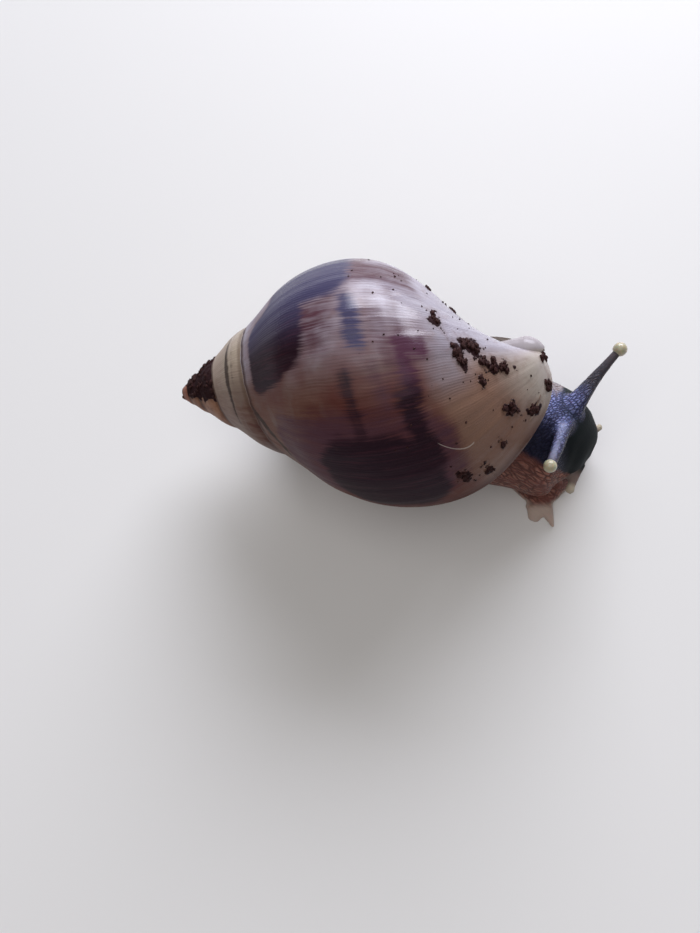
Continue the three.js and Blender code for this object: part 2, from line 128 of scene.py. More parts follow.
# x, y, half width, lowest z, z of the widest level, highest z
NECK_STATIONS = (
    (10, -6, 6.4, 0.8, 6, 14),
    (17, -6.6, 7.6, 0.8, 5.5, 17),
    (24, -7.3, 8.3, 0.8, 5, 16.8),
    (28.5, -8, 9.1, 0.8, 5, 15.8),
    (31, -8.4, 7.9, 1.2, 5.6, 14.4),
    (33, -9, 6.1, 1.8, 6, 12.5),
    (34.3, -9.5, 4.8, 2.4, 6, 10.6),
    (35.3, -9.9, 3.3, 3.1, 6, 8.8),
    (35.9, -10.2, 1.3, 4.6, 6, 6.9),
)
TRUNK_INSET = 2.6
TRUNK_SETBACK = 1.0
TRUNK_BASE = np.array([4.0, -3.3, 1.2])
TRUNK_BASE_HALF_LENGTH = 21.0
TRUNK_BASE_HALF_WIDTH = 7.0
TRUNK_BASE_HEADING = math.radians(-13)
TRUNK_WAIST = 0.16
COLUMELLA_RADIUS = 1.0

# path, radii from root to tip, radius of the round tip
UPPER_TENTACLES = {
    "left": (((31, -6.8, 11), (33.2, -4.5, 12.4), (36.3, -0.9, 13.2), (39.7, 2.7, 14)),
             (2.9, 1.6, 0.9, 0.6), 1.05),
    "right": (((31.3, -7, 11), (30.8, -9.2, 14.2), (29.6, -12.6, 17), (28.2, -15.9, 18.6)),
              (2.4, 1.25, 0.95, 0.75), 0.95),
}
LOWER_TENTACLES = {
    "left": (((34, -8.2, 5), (35.4, -7.4, 4.9), (36.4, -6.8, 4.8), (37.2, -6.3, 4.7)),
             (1.2, 0.8, 0.6, 0.5), 0.6),
    "right": (((33.4, -12.2, 5.4), (33, -13.6, 5.2), (32.6, -14.8, 5), (32.1, -16.1, 4.8)),
              (1.3, 0.9, 0.7, 0.6), 0.75),
}


# ---- Meshes ----------------------------------------------------------------------------------

def values_along(rows, place):
    """Catmull-Rom values between rows, at places from 0 to 1: each stretch is the cubic whose
    slope at a row is half the step from the row before it to the row after it."""
    rows = np.asarray(rows, float)
    last = len(rows) - 1
    at = np.clip(place, 0, 1) * last
    i = np.minimum(at.astype(int), last - 1)
    w = (at - i)[:, None]
    a, b, c, d = (rows[np.clip(i + k, 0, last)] for k in (-1, 0, 1, 2))
    bend = 2 * a - 5 * b + 4 * c - d + w * (3 * (b - c) + d - a)
    return b + 0.5 * w * (c - a + w * bend)


def unit(vectors):
    """Vectors divided by their lengths."""
    return vectors / np.maximum(np.linalg.norm(vectors, axis=-1, keepdims=True), 1e-12)


def tube_faces(rings, sides):
    """Quads between rings of points that close round, with each end fanned to a middle point,
    which comes after the ring points."""
    ring, side = np.meshgrid(np.arange(rings - 1), np.arange(sides), indexing="ij")
    nxt = (side + 1) % sides
    quads = np.stack([ring * sides + side, ring * sides + nxt,
                      (ring + 1) * sides + nxt, (ring + 1) * sides + side], -1).reshape(-1, 4)
    round_ = np.arange(sides)
    after = (round_ + 1) % sides
    first = np.full(sides, rings * sides)
    last_ring = (rings - 1) * sides
    start = np.stack([after, round_, first], -1)
    end = np.stack([last_ring + round_, last_ring + after, first + 1], -1)
    return quads, np.vstack([start, end])


def closed_tube(points):
    """(points, quads, triangles) of a closed tube through rings of points, turned outwards: its
    signed volume, the sum over triangles of a . (b x c), comes out positive."""
    rings, sides, _ = points.shape
    quads, caps = tube_faces(rings, sides)
    flat = np.vstack([points.reshape(-1, 3), points[0].mean(0), points[-1].mean(0)])
    triangles = np.vstack([quads[:, [0, 1, 2]], quads[:, [0, 2, 3]], caps])
    a, b, c = (flat[triangles[:, k]] for k in range(3))
    if np.einsum("ij,ij->i", a, np.cross(b, c)).sum() < 0:
        quads, caps = quads[:, ::-1], caps[:, ::-1]
    return flat, quads, caps


def join_parts(parts):
    """Several (points, quads, triangles) as one."""
    points, quads, triangles, start = [], [], [], 0
    for part in parts:
        points.append(part[0])
        quads.append(part[1] + start)
        triangles.append(part[2] + start)
        start += len(part[0])
    return np.vstack(points), np.vstack(quads), np.vstack(triangles)


def new_piece(name, part, smooth=True):
    """A mesh object from (points, quads, triangles) in the crawling frame's millimetres."""
    points, quads, triangles = part
    mesh = bpy.data.meshes.new(name)
    mesh.vertices.add(len(points))
    mesh.vertices.foreach_set("co", ((points + CENTRING) * MM).ravel())
    corners = np.concatenate([quads.ravel(), triangles.ravel()]).astype(np.int32)
    sizes = np.concatenate([np.full(len(quads), 4), np.full(len(triangles), 3)])
    starts = np.concatenate([[0], np.cumsum(sizes)[:-1]]).astype(np.int32)
    mesh.loops.add(len(corners))
    mesh.loops.foreach_set("vertex_index", corners)
    mesh.polygons.add(len(sizes))
    mesh.polygons.foreach_set("loop_start", starts)
    mesh.polygons.foreach_set("use_smooth", np.full(len(sizes), smooth))
    mesh.update(calc_edges=True)
    mesh.validate()
    piece = bpy.data.objects.new(name, mesh)
    bpy.context.scene.collection.objects.link(piece)
    return piece


def add_numbers(piece, name, values):
    """Stores a number at each point of a piece, for its material to read."""
    attribute = piece.data.attributes.new(name, "FLOAT", "POINT")
    attribute.data.foreach_set("value", np.asarray(values, np.float32).ravel())


def dress(piece, material, nodes):
    """Gives a piece its material, the body it rides on and the solids it hides."""
    piece.data.materials.append(material)
    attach(piece, "root")
    if nodes:
        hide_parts(*nodes)


# ---- Shader nodes ----------------------------------------------------------------------------

class Value:
    """A number in a material: arithmetic on it adds Math nodes."""

    def __init__(self, paint, socket):
        self.paint = paint
        self.socket = socket

    def math(self, operation, *inputs):
        sockets = {i: value for i, value in enumerate(inputs)}
        return self.paint.node("ShaderNodeMath", {"operation": operation}, sockets)

    def __add__(self, other):
        return self.math("ADD", self, other)

    def __sub__(self, other):
        return self.math("SUBTRACT", self, other)

    def __rsub__(self, other):
        return self.math("SUBTRACT", other, self)

    def __mul__(self, other):
        return self.math("MULTIPLY", self, other)

    def __truediv__(self, other):
        return self.math("DIVIDE", self, other)

    def __rtruediv__(self, other):
        return self.math("DIVIDE", other, self)

    __radd__ = __add__
    __rmul__ = __mul__

    def greater(self, other):
        return self.math("MAXIMUM", self, other)

    def absolute(self):
        return self.math("ABSOLUTE", self)

    def sine(self):
        return self.math("SINE", self)

    def rise(self, low, high):
        """0 below low, 1 above high, and smooth between; falls instead where low is over high."""
        settings = {"interpolation_type": "SMOOTHSTEP"}
        if low <= high:
            return self.paint.node("ShaderNodeMapRange", settings, {"Value": self, 1: low, 2: high})
        inputs = {"Value": self, 1: high, 2: low, 3: 1.0, 4: 0.0}
        return self.paint.node("ShaderNodeMapRange", settings, inputs)

    def within(self, low, high, soft):
        """1 between low and high, 0 outside, with soft edges."""
        return self.rise(low - soft, low + soft) * self.rise(high + soft, high - soft)


class Paint:
    """A material's node tree, with short ways to add to it."""

    def __init__(self, name):
        self.material = bpy.data.materials.new(name)
        self.material.use_nodes = True
        self.tree = self.material.node_tree
        self.tree.nodes.clear()

    def node(self, kind, settings=None, inputs=None, output=0):
        """Adds a node: its settings first, then its sockets' values or links. Returns the output
        asked for, or a list where several are."""
        made = self.tree.nodes.new(kind)
        for name, value in (settings or {}).items():
            setattr(made, name, value)
        for key, value in (inputs or {}).items():
            if isinstance(value, Value):
                self.tree.links.new(value.socket, made.inputs[key])
            else:
                made.inputs[key].default_value = value
        if isinstance(output, tuple):
            return [Value(self, made.outputs[one]) for one in output]
        return Value(self, made.outputs[output]) if len(made.outputs) else made

    def number(self, name):
        """A number stored on the mesh."""
        settings = {"attribute_type": "GEOMETRY", "attribute_name": name}
        return self.node("ShaderNodeAttribute", settings, output="Fac")

    def place(self):
        """The point's place on the piece, in millimetres, as a vector."""
        metres = self.node("ShaderNodeTexCoord", output="Object")
        inputs = {0: metres, "Scale": 1 / MM}
        return self.node("ShaderNodeVectorMath", {"operation": "SCALE"}, inputs)

    def parts(self, vector):
        """The three numbers of a vector."""
        return self.node("ShaderNodeSeparateXYZ", None, {0: vector}, (0, 1, 2))

    def along(self, vector, direction):
        """How far a vector reaches along a direction: their dot product."""
        settings = {"operation": "DOT_PRODUCT"}
        return self.node("ShaderNodeVectorMath", settings, {0: vector, 1: direction}, "Value")

    def vector(self, x, y, z):
        return self.node("ShaderNodeCombineXYZ", None, {0: x, 1: y, 2: z})

    def mix(self, factor, first, second):
        """The first colour, turning into the second as factor goes from 0 to 1."""
        settings = {"data_type": "RGBA", "clamp_factor": True}
        inputs = {0: factor, 6: rgba(first), 7: rgba(second)}
        return self.node("ShaderNodeMix", settings, inputs, output=2)

    def noise(self, vector, scale, detail=2.0, roughness=0.5):
        """Smooth noise about 0.5."""
        inputs = {"Vector": vector, "Scale": scale, "Detail": detail, "Roughness": roughness}
        return self.node("ShaderNodeTexNoise", None, inputs)

    def cells(self, vector, scale, feature="DISTANCE_TO_EDGE", output="Distance"):
        """Voronoi cells: the distance to a cell's edge, or another feature."""
        inputs = {"Vector": vector, "Scale": scale}
        return self.node("ShaderNodeTexVoronoi", {"feature": feature}, inputs, output)

    def bump(self, height, distance, strength=1.0, below=None):
        """A normal that follows a height of 0 to 1, distance millimetres high."""
        inputs = {"Height": height, "Distance": distance * MM, "Strength": strength}
        if below is not None:
            inputs["Normal"] = below
        return self.node("ShaderNodeBump", None, inputs)

    def surface(self, inputs):
        """The Principled shader and the output."""
        shader = self.node("ShaderNodeBsdfPrincipled", None, inputs)
        self.node("ShaderNodeOutputMaterial", None, {"Surface": shader})
        return self.material


def rgba(colour):
    """A colour with its alpha, or a link as it is."""
    return colour if isinstance(colour, Value) else (*colour[:3], 1.0)


# ---- Settings --------------------------------------------------------------------------------

class ShellSettings(PropertyGroup):
    """Colours and fineness of the shell."""
    cream: FloatVectorProperty(name="Cream", description="Light ground of the shell",
                               default=(0.43, 0.375, 0.3), size=3, min=0, max=1, subtype="COLOR")
    buff: FloatVectorProperty(name="Buff", description="Warm ground near the lip",
                              default=(0.18, 0.09, 0.06), size=3, min=0, max=1, subtype="COLOR")
    plum: FloatVectorProperty(name="Plum", description="Dark bands and blotches",
                              default=(0.018, 0.006, 0.011), size=3, min=0, max=1, subtype="COLOR")
    soil: FloatVectorProperty(name="Soil", description="Soil crusted on the spire",
                              default=(0.023, 0.008, 0.008), size=3, min=0, max=1, subtype="COLOR")
    rib_spacing: FloatProperty(name="Rib spacing", description="Distance between growth lines",
                               default=0.45 * MM, min=0.1 * MM, max=2 * MM, unit="LENGTH",
                               subtype="DISTANCE", precision=5)
    rib_height: FloatProperty(name="Rib height", description="Height of the growth lines",
                              default=0.05 * MM, min=0, max=0.5 * MM, unit="LENGTH",
                              subtype="DISTANCE", precision=5)
    steps: IntProperty(name="Steps per turn", description="Rings of points in the last whorl",
                       default=420, min=48, max=600)


class SkinSettings(PropertyGroup):
    """Colours and fineness of the soft body."""
    dark: FloatVectorProperty(name="Dark", description="Top of head and neck",
                              default=(0.008, 0.007, 0.015), size=3, min=0, max=1, subtype="COLOR")
    brown: FloatVectorProperty(name="Brown", description="Flanks of neck and foot",
                               default=(0.17, 0.06, 0.048), size=3, min=0, max=1, subtype="COLOR")
    pale: FloatVectorProperty(name="Pale", description="Edge of the foot and its front folds",
                              default=(0.5, 0.4, 0.35), size=3, min=0, max=1, subtype="COLOR")
    knob: FloatVectorProperty(name="Knob", description="Round tips of the tentacles",
                              default=(0.38, 0.36, 0.26), size=3, min=0, max=1, subtype="COLOR")
    voxel: FloatProperty(name="Voxel", description="Grain of the joined skin",
                         default=0.3 * MM, min=0.2 * MM, max=2 * MM, unit="LENGTH",
                         subtype="DISTANCE", precision=5)


class StageSettings(PropertyGroup):
    """Floor and light."""
    floor: FloatVectorProperty(name="Floor", description="Colour of the floor",
                               default=(0.76, 0.76, 0.77), size=3, min=0, max=1, subtype="COLOR")
    key: FloatProperty(name="Key light", description="Strength of the window-like main light",
                       default=9.2, min=0, max=50, unit="POWER")
    fill: FloatProperty(name="Fill light", description="Strength of the light from above",
                        default=0.85, min=0, max=50, unit="POWER")


# ---- Shell -----------------------------------------------------------------------------------

def turned(vector, axis, angle):
    """A vector turned about a unit axis: Rodrigues' formula."""
    across = np.cross(axis, vector)
    along = axis * (axis @ vector)
    return along + (vector - along) * math.cos(angle) + across * math.sin(angle)


AXIS = np.array([math.cos(AXIS_RISE), 0.0, math.sin(AXIS_RISE)])
OUTWARD = turned(np.array([0.0, -1.0, 0.0]), AXIS, AXIS_ROLL)
FACING = np.cross(AXIS, OUTWARD)


def spiral_points(turn, radius, height):
    """Points at turns, radii from the axis and heights from the apex: the radius swings round
    the axis by one full turn for each unit of turn."""
    theta = turn * FULL_TURN
    round_ = np.cos(theta)[..., None] * OUTWARD + np.sin(theta)[..., None] * FACING
    return APEX + radius[..., None] * round_ + height[..., None] * AXIS


def smooth_step(value, low, high):
    """0 below low, 1 above high, 3 s^2 - 2 s^3 between."""
    share = np.clip((value - low) / (high - low), 0, 1)
    return share * share * (3 - 2 * share)


def base_draw(turn, angle):
    """How far the base is drawn out along the axis: the height left to BASE_END_HEIGHT, times
    smooth steps up with the turn and with the angle, and down again past BASE_ANGLE."""
    first_angle, last_angle = BASE_DRAWN_ANGLES
    drawn = BASE_END_HEIGHT - SPIRAL_SCALE * BASE_HEIGHT * GROWTH_PER_TURN ** turn
    return (drawn * smooth_step(turn, *BASE_DRAWN_TURNS)
            * smooth_step(angle, first_angle, BASE_ANGLE)
            * (1 - smooth_step(angle, BASE_ANGLE, last_angle)))


def section(turn, angle, grow=0.0):
    """Radius and height of the whorl's egg-shaped section: an ellipse with a three-fold and a
    four-fold lobe, wider towards the base, tilted, scaled by GROWTH_PER_TURN ** turn, and drawn
    out at its base."""
    lobes = 1 + SECTION_THREE_LOBE * np.cos(3 * angle) + SECTION_FOUR_LOBE * np.sin(4 * angle)
    x, y = np.cos(angle) * lobes, np.sin(angle) * lobes
    scale = SPIRAL_SCALE * GROWTH_PER_TURN ** turn
    wide = scale * SECTION_HALF_WIDTH * x * (1 + SECTION_EGG * y)
    long = scale * SECTION_HALF_LENGTH * y
    swell = 1 + grow / np.hypot(wide, long)
    across = wide * math.cos(SECTION_TILT) - long * math.sin(SECTION_TILT)
    down = wide * math.sin(SECTION_TILT) + long * math.cos(SECTION_TILT)
    angle = angle % FULL_TURN
    return (scale * SECTION_RADIUS + swell * across,
            scale * SECTION_HEIGHT + swell * down + base_draw(turn, angle))


def growth_length(turn):
    """Length along the whorl's outermost line, in millimetres, growing with the whorl: the
    circumference at that turn divided by the logarithm of the growth."""
    reach = SPIRAL_SCALE * (SECTION_RADIUS + SECTION_HALF_WIDTH)
    return FULL_TURN * reach * GROWTH_PER_TURN ** turn / math.log(GROWTH_PER_TURN)


def growth_relief(turn, angle):
    """Height in millimetres of the growth rests and dents: three waves along the growth length,
    bent a little towards the base, times the whorl's share of full size, and calm near the
    axis, where the growth lines close up."""
    length = growth_length(turn) + 1.2 * np.sin(1.3 * angle) * GROWTH_PER_TURN ** turn
    calm = smooth_step(section(0 * turn, angle)[0], 2.5, 10.0)
    waves = (0.04 * np.sin(length * 1.1 + 0.7) + 0.02 * np.sin(length * 2.37 + 1.9 * angle)
             + 0.012 * np.sin(length * 4.1 + 2.0 + 0.8 * angle))
    return waves * calm * GROWTH_PER_TURN ** turn


def spire_part():
    """The whorls before the last: rings of the section from just inside the upper suture, over
    the face, to just inside the lower suture, and back beside the axis."""
    per_turn, face = 200, 44
    turn = np.linspace(APEX_TURN, BODY_TURN + 0.03, int((BODY_TURN + 0.03 - APEX_TURN) * per_turn))
    angle = np.linspace(UPPER_SUTURE - SUTURE_OVERLAP, LOWER_SUTURE + SUTURE_OVERLAP, face)
    t, a = np.meshgrid(turn, angle, indexing="ij")
    radius, height = section(t, a, growth_relief(t, a) - SHELL_INSET)
    back = np.full((len(turn), 2), CORE_RADIUS)
    radius = np.hstack([np.maximum(radius, CORE_RADIUS), back])
    height = np.hstack([height, height[:, [-1, 0]]])
    t = np.hstack([t, t[:, :2]])
    a = np.hstack([a, a[:, [-1, 0]]])
    points = spiral_points(t, radius, height)
    return closed_tube(points), t, a, 0 * t


def body_part(steps):
    """The last whorl: rings of the whole section, growing to the aperture, turned over a round
    lip, and back inside by the lip's thickness."""
    sides = 150
    angle = np.linspace(0, FULL_TURN, sides, endpoint=False) + UPPER_SUTURE
    outer = np.linspace(BODY_TURN, 0, steps)
    round_ = np.linspace(0, math.pi, 7)[1:-1]
    lip_turn = np.full(len(round_), 0.0)
    inner = np.linspace(0, LIP_BACK_TURN, 24)
    turn = np.concatenate([outer, lip_turn, inner])
    half = LIP_THICKNESS / 2
    grow = np.concatenate([np.zeros(len(outer)), half * (np.cos(round_) - 1),
                           np.full(len(inner), -LIP_THICKNESS)])
    onward = np.concatenate([np.zeros(len(outer)), half * np.sin(round_), np.zeros(len(inner))])
    t, a = np.meshgrid(turn, angle, indexing="ij")
    relief = np.where((grow == 0)[:, None], growth_relief(t, a), growth_relief(0 * t, a))
    radius, height = section(t, a, grow[:, None] + relief - SHELL_INSET)
    points = spiral_points(t, radius, height) + onward[:, None, None] * FACING
    porcelain = np.broadcast_to((grow <= -half)[:, None], t.shape).astype(float)
    return closed_tube(points), t, a, porcelain


def callus_part(steps=60, sides=40):
    """The callus: circles about the shell's axis whose radius runs through the rows of CALLUS."""
    height, radius = values_along(CALLUS, np.linspace(0, 1, steps)).T
    turn = np.linspace(-1, 0, sides, endpoint=False)
    t, h = np.meshgrid(turn, height)
    points = spiral_points(t, radius[:, None] - SHELL_INSET + 0 * t, h)
    return closed_tube(points), t, np.full(t.shape, CALLUS_ANGLE), np.full(t.shape, 0.5)


# Markings: turns from and to, angles from and to, slant in turns per radian of angle, and
# corner radius in millimetres.
PLUM_MARKS = (
    (-0.350, -0.205, -1.22, -0.24, -0.05, 3.0),
    (-0.450, -0.305, -0.70, 0.13, -0.02, 2.5),
    (-0.312, -0.238, 0.03, 0.165, 0.05, 0.8),
    (-0.234, -0.165, 0.35, 0.49, 0.0, 0.8),
    (-0.248, -0.218, 0.36, 0.68, 0.0, 0.9),
    (-0.184, -0.080, 0.27, 0.44, 0.0, 1.4),
    (-0.212, -0.130, -0.055, 0.015, 0.0, 0.4),
    (-0.138, -0.014, -0.44, 0.37, 0.0, 4.5),
)
VIOLET_MARKS = (
    (-0.310, -0.255, -0.35, 0.00, 0.0, 1.0),
    (-0.315, -0.250, 0.24, 0.29, 0.0, 0.4),
    (-0.224, -0.150, 0.16, 0.235, 0.0, 0.6),
    (-0.290, -0.238, -0.30, -0.08, 0.0, 1.0),
    (-0.395, -0.325, 0.08, 0.74, 0.0, 1.0),
    (-0.292, -0.200, 0.26, 0.36, 0.0, 0.6),
    (-0.330, -0.240, 0.40, 0.50, 0.0, 0.6),
    (-0.165, -0.035, -1.00, 0.60, 0.0, 5.0),
)
OLIVE_MARKS = (
    (-1.340, -1.150, -0.72, -0.56, -0.9, 0.6),
    (-1.330, -1.200, -0.50, -0.46, -0.6, 0.2),
    (-0.130, -0.101, -1.42, -1.00, 0.23, 0.5),
)
# Clods of soil: turn, angle and radius in millimetres.
CLODS = (
    (-0.280, 0.90, 0.9), (-0.355, 1.36, 0.7), (-0.239, 1.17, 0.8), (-0.222, 1.01, 1.0),
    (-0.232, 1.25, 1.0), (-0.205, 1.02, 0.7), (-0.197, 1.29, 0.8), (-0.182, 1.35, 0.9),
    (-0.173, 1.43, 0.8), (-0.135, 1.86, 0.7), (-0.163, 1.14, 0.6), (-0.088, 1.24, 0.9),
    (-0.040, 1.39, 1.1), (-0.028, 1.68, 0.9), (-0.047, 0.46, 0.8), (-0.030, 0.66, 0.6),
    (-0.403, 1.02, 0.6), (-0.049, 0.93, 0.4), (-0.012, 2.02, 1.8),
)
# Millimetres of shell for one turn along the growth, and for one radian across it, at full size.
TURN_LENGTH = 100.0
ANGLE_LENGTH = 17.0


def mark_depth(turn, angle, marks):
    """Millimetres inside the nearest marking, less than 0 outside: each is a rectangle of turns
    and angles with rounded corners, and the depth is measured to its edge."""
    scale = GROWTH_PER_TURN ** turn
    depth = np.full(turn.shape, -99.0)
    for from_turn, to_turn, from_angle, to_angle, slant, corner in marks:
        off = angle - (from_angle + to_angle) / 2
        along = np.abs(turn - (from_turn + to_turn) / 2 - slant * off) - (to_turn - from_turn) / 2
        across = np.abs(off) - (to_angle - from_angle) / 2
        along = along * TURN_LENGTH * scale + corner
        across = across * ANGLE_LENGTH * scale + corner
        outside = np.hypot(np.maximum(along, 0), np.maximum(across, 0))
        inside = np.minimum(np.maximum(along, across), 0)
        depth = np.maximum(depth, corner - outside - inside)
    return depth


def clod_depth(turn, angle):
    """Millimetres inside the nearest clod of soil, less than 0 outside."""
    scale = GROWTH_PER_TURN ** turn
    depth = np.full(turn.shape, -99.0)
    for at_turn, at_angle, radius in CLODS:
        along = (turn - at_turn) * TURN_LENGTH * 0.6 * scale
        across = (angle - at_angle) * ANGLE_LENGTH * scale
        depth = np.maximum(depth, radius - np.hypot(along, across))
    return depth


def leftness(turn):
    """How far the spiral points to the snail's left at a turn, from -1 to 1."""
    theta = turn * FULL_TURN
    return np.cos(theta) * OUTWARD[1] + np.sin(theta) * FACING[1]


def crust_depth(turn):
    """Millimetres of soil crust on the left of the spire, less than 0 where it is clean."""
    begun = smooth_step(-turn, 1.93, 2.05)
    side = smooth_step(leftness(turn), -0.95, -0.35)
    worn = smooth_step(-turn, 3.5, 4.2) * smooth_step(-leftness(turn), -0.9, -0.3)
    return 3.0 * begun * side * (1 - 0.8 * worn) - 1.5


def shell_numbers(turn, angle, inner):
    """What the shell's material reads at each point: where it is on the spiral, how deep it lies
    inside each kind of marking, how warm its ground is, how much darker red-brown it gets on the side
    turned away from the window light, partly its own brown and partly painted shade, how far it
    stands from the axis for its whorl, and whether it is porcelain."""
    lip_side = smooth_step(turn, -0.245, -0.17)
    pale_base = smooth_step(angle, 1.25, 1.65)
    warm = lip_side * (1 - 0.8 * pale_base)
    # The side turned away from the window light is painted darker red-brown: partly the shell's own
    # brown, partly painted shade.
    brown_and_painted_shade = smooth_step(-leftness(turn), -0.05, 0.85) * (1 - smooth_step(angle, 0.3, 0.7))
    brown_and_painted_shade = brown_and_painted_shade * (1 - 0.35 * smooth_step(-angle, 0.3, 0.9))
    return {
        "turn": turn,
        "angle": angle,
        "length": growth_length(turn),
        "plum": mark_depth(turn, angle, PLUM_MARKS),
        "violet": mark_depth(turn, angle, VIOLET_MARKS),
        "olive": mark_depth(turn, angle, OLIVE_MARKS),
        "soil": np.maximum(clod_depth(turn, angle), crust_depth(turn)),
        "warm": warm,
        "brown_and_painted_shade": brown_and_painted_shade,
        "reach": section(0 * turn, angle)[0],
        "inner": inner,
    }


def shell_material(settings):
    """Cream ground with plum bands whose edges are combed along the growth lines, a warm front
    quarter, soil on the spire and fine wavy ribs along the growth lines."""
    paint = Paint("shell_glossy_banded")
    turn = paint.number("turn")
    angle = paint.number("angle")
    place = paint.place()
    lines = paint.number("length") + (paint.noise(place, 0.2, 2.0) - 0.5) * 0.9
    calm = paint.number("reach").rise(2.0, 10.0)

    broad = paint.noise(paint.vector(lines * 0.9, angle * 2.2, 0.0), 1.0, 3.0, 0.6) - 0.5
    fine = paint.noise(paint.vector(lines * 3.6, angle * 1.6, 3.0), 1.0, 2.0, 0.6) - 0.5
    drift = paint.noise(place, 0.22, 2.0) - 0.5
    ragged = broad * 0.9 + fine * 2.2 + drift * 2.0

    # The side away from the aperture carries flames along the growth lines.
    flame_seat = paint.vector(lines * 0.2, angle * 1.5, 5.0)
    flames = paint.noise(flame_seat, 1.0, 3.0, 0.55) + broad * 0.3 + fine * 0.2
    flames = flames.rise(0.53, 0.60) * turn.rise(-0.43, -0.5) * turn.rise(-1.06, -0.97)
    flames = flames * angle.rise(1.6, 1.1)
    plum = (paint.number("plum") + ragged).rise(-0.6, 0.7).greater(flames * 0.95)
    violet = (paint.number("violet") + ragged * 1.2).rise(-1.2, 1.6)
    halo = (paint.number("plum") + ragged + drift * 6.0).rise(-5.0, 0.6)
    # On that side of painted shade the red-brown halo is also stronger.
    halo = halo * (paint.number("brown_and_painted_shade") * 0.45 + 0.5)
    olive = (paint.number("olive") + ragged * 0.4).rise(-0.15, 0.4)

    mottle = paint.noise(place, 0.5, 4.0, 0.6)
    hue = paint.noise(place, 0.13, 2.0)
    ground = paint.mix(hue.rise(0.42, 0.62) * 0.5, settings.cream, (0.43, 0.33, 0.3))
    # Where the shell faces the window light its ground is painted lilac-grey: a painted reflection of
    # the bluish window.
    painted_lilac_reflection = turn.rise(-0.15, -0.24) * turn.rise(-0.52, -0.42)
    ground = paint.mix(painted_lilac_reflection * 0.7, ground, (0.33, 0.32, 0.44))
    ground = paint.mix(paint.number("warm") * 0.9, ground, settings.buff)
    greyed = turn.within(-0.25, -0.17, 0.025) * angle.within(0.45, 1.05, 0.2)
    ground = paint.mix(greyed * 0.65, ground, (0.2, 0.18, 0.22))
    shoulder = angle.rise(1.1, 1.8) * turn.rise(-0.24, -0.14)
    ground = paint.mix(shoulder * 0.6, ground, (0.4, 0.37, 0.36))
    ground = paint.mix(turn.rise(-0.9, -1.05) * 0.4, ground, (0.25, 0.18, 0.14))
    # Darker red-brown on the side turned away from the window light: partly the shell's own brown,
    # partly painted shade.
    ground = paint.mix(paint.number("brown_and_painted_shade") * (broad + 0.82), ground, (0.09, 0.021, 0.012))
    patches = paint.noise(paint.vector(lines * 0.12, angle * 3.5, 11.0), 1.0, 2.0, 0.5)
    patches = patches.rise(0.5, 0.62) * paint.number("brown_and_painted_shade")
    ground = paint.mix(patches * 0.7, ground, (0.2, 0.15, 0.13))
    ground = paint.mix(mottle.rise(0.5, 0.8) * 0.4, ground, (0.2, 0.12, 0.095))
    dark_lines = paint.noise(paint.vector(lines * 3.4, angle * 0.8, 9.0), 1.0, 3.0, 0.6)
    ground = paint.mix(dark_lines.rise(0.5, 0.72) * calm * 0.24, ground, (0.13, 0.07, 0.065))
    colour = paint.mix(halo, ground, (0.1, 0.024, 0.018))
    colour = paint.mix(violet * (broad * 1.6 + 0.85), colour, (0.08, 0.032, 0.045))
    deep = paint.mix((fine + broad).rise(-0.05, 0.35) * 0.7, settings.plum, (0.055, 0.016, 0.025))
    # The top of the first plum band and the second band are painted blue: a painted reflection of the
    # bluish window light.
    painted_blue_reflection = turn.rise(-0.24, -0.33) * angle.rise(0.25, 0.12)
    painted_blue_reflection = painted_blue_reflection.greater(turn.within(-0.33, -0.22, 0.02) * angle.within(0.0, 0.2, 0.04))
    deep = paint.mix(painted_blue_reflection * 0.8, deep, (0.06, 0.058, 0.125))
    purple = turn.within(-0.26, -0.19, 0.02) * angle.within(0.3, 0.8, 0.06)
    deep = paint.mix(purple * 0.8, deep, (0.09, 0.032, 0.06))
    colour = paint.mix(plum * (broad * 0.3 + 1.0), colour, deep)
    colour = paint.mix(olive * 0.9, colour, (0.028, 0.014, 0.006))

    # A brown margin along the front of the lip, and one pale fibre that lies near it in an arc.
    margin = turn.rise(-0.022, -0.004) * angle.within(0.2, 1.5, 0.4)
    colour = paint.mix(margin * 0.6, colour, (0.06, 0.024, 0.02))
    bend = (angle - 0.66) / 0.222
    fibre = (turn + 0.088 + bend * bend * 0.024).absolute().rise(0.0013, 0.0004)
    fibre = fibre * angle.within(0.44, 0.71, 0.01)
    colour = paint.mix(fibre * 0.6, colour, (0.5, 0.44, 0.4))

    # The spire is ochre and worn, its tip paler, and each suture is drawn in brown.
    spire = turn.rise(-1.97, -2.03)
    ochre = paint.mix(mottle.rise(0.35, 0.7), (0.32, 0.165, 0.095), (0.16, 0.065, 0.034))
    colour = paint.mix(spire * 0.9, colour, ochre)
    colour = paint.mix(turn.rise(-3.9, -4.2) * 0.85, colour, (0.26, 0.105, 0.075))
    suture_width = turn.rise(-1.9, -2.1) * 0.08 + 0.1
    suture = (angle - UPPER_SUTURE - suture_width).rise(0.0, -0.07)
    suture = suture.greater(angle.within(LOWER_SUTURE - 0.07, LOWER_SUTURE, 0.03)
                            * turn.rise(-0.99, -1.01) * 0.5)
    colour = paint.mix(suture * 0.85, colour, (0.05, 0.02, 0.012))
    porcelain = paint.mix(mottle.rise(0.3, 0.7) * 0.4, (0.4, 0.36, 0.34), (0.24, 0.2, 0.18))
    colour = paint.mix(paint.number("inner"), colour, porcelain)

    clods = paint.noise(place, 0.9, 2.0, 0.5)
    soil = paint.number("soil")
    crust = (soil + (clods - 0.5) * 3.4).rise(-0.1, 0.2)
    stain = (soil + (clods - 0.5) * 3.0).rise(-1.2, 0.6) * 0.5
    colour = paint.mix(stain, colour, (0.12, 0.055, 0.035))
    colour = paint.mix(crust, colour, settings.soil)
    specks = paint.noise(place, 2.2, 3.0, 0.6).rise(0.70, 0.75) * 0.7
    colour = paint.mix(specks, colour, (0.05, 0.025, 0.02))

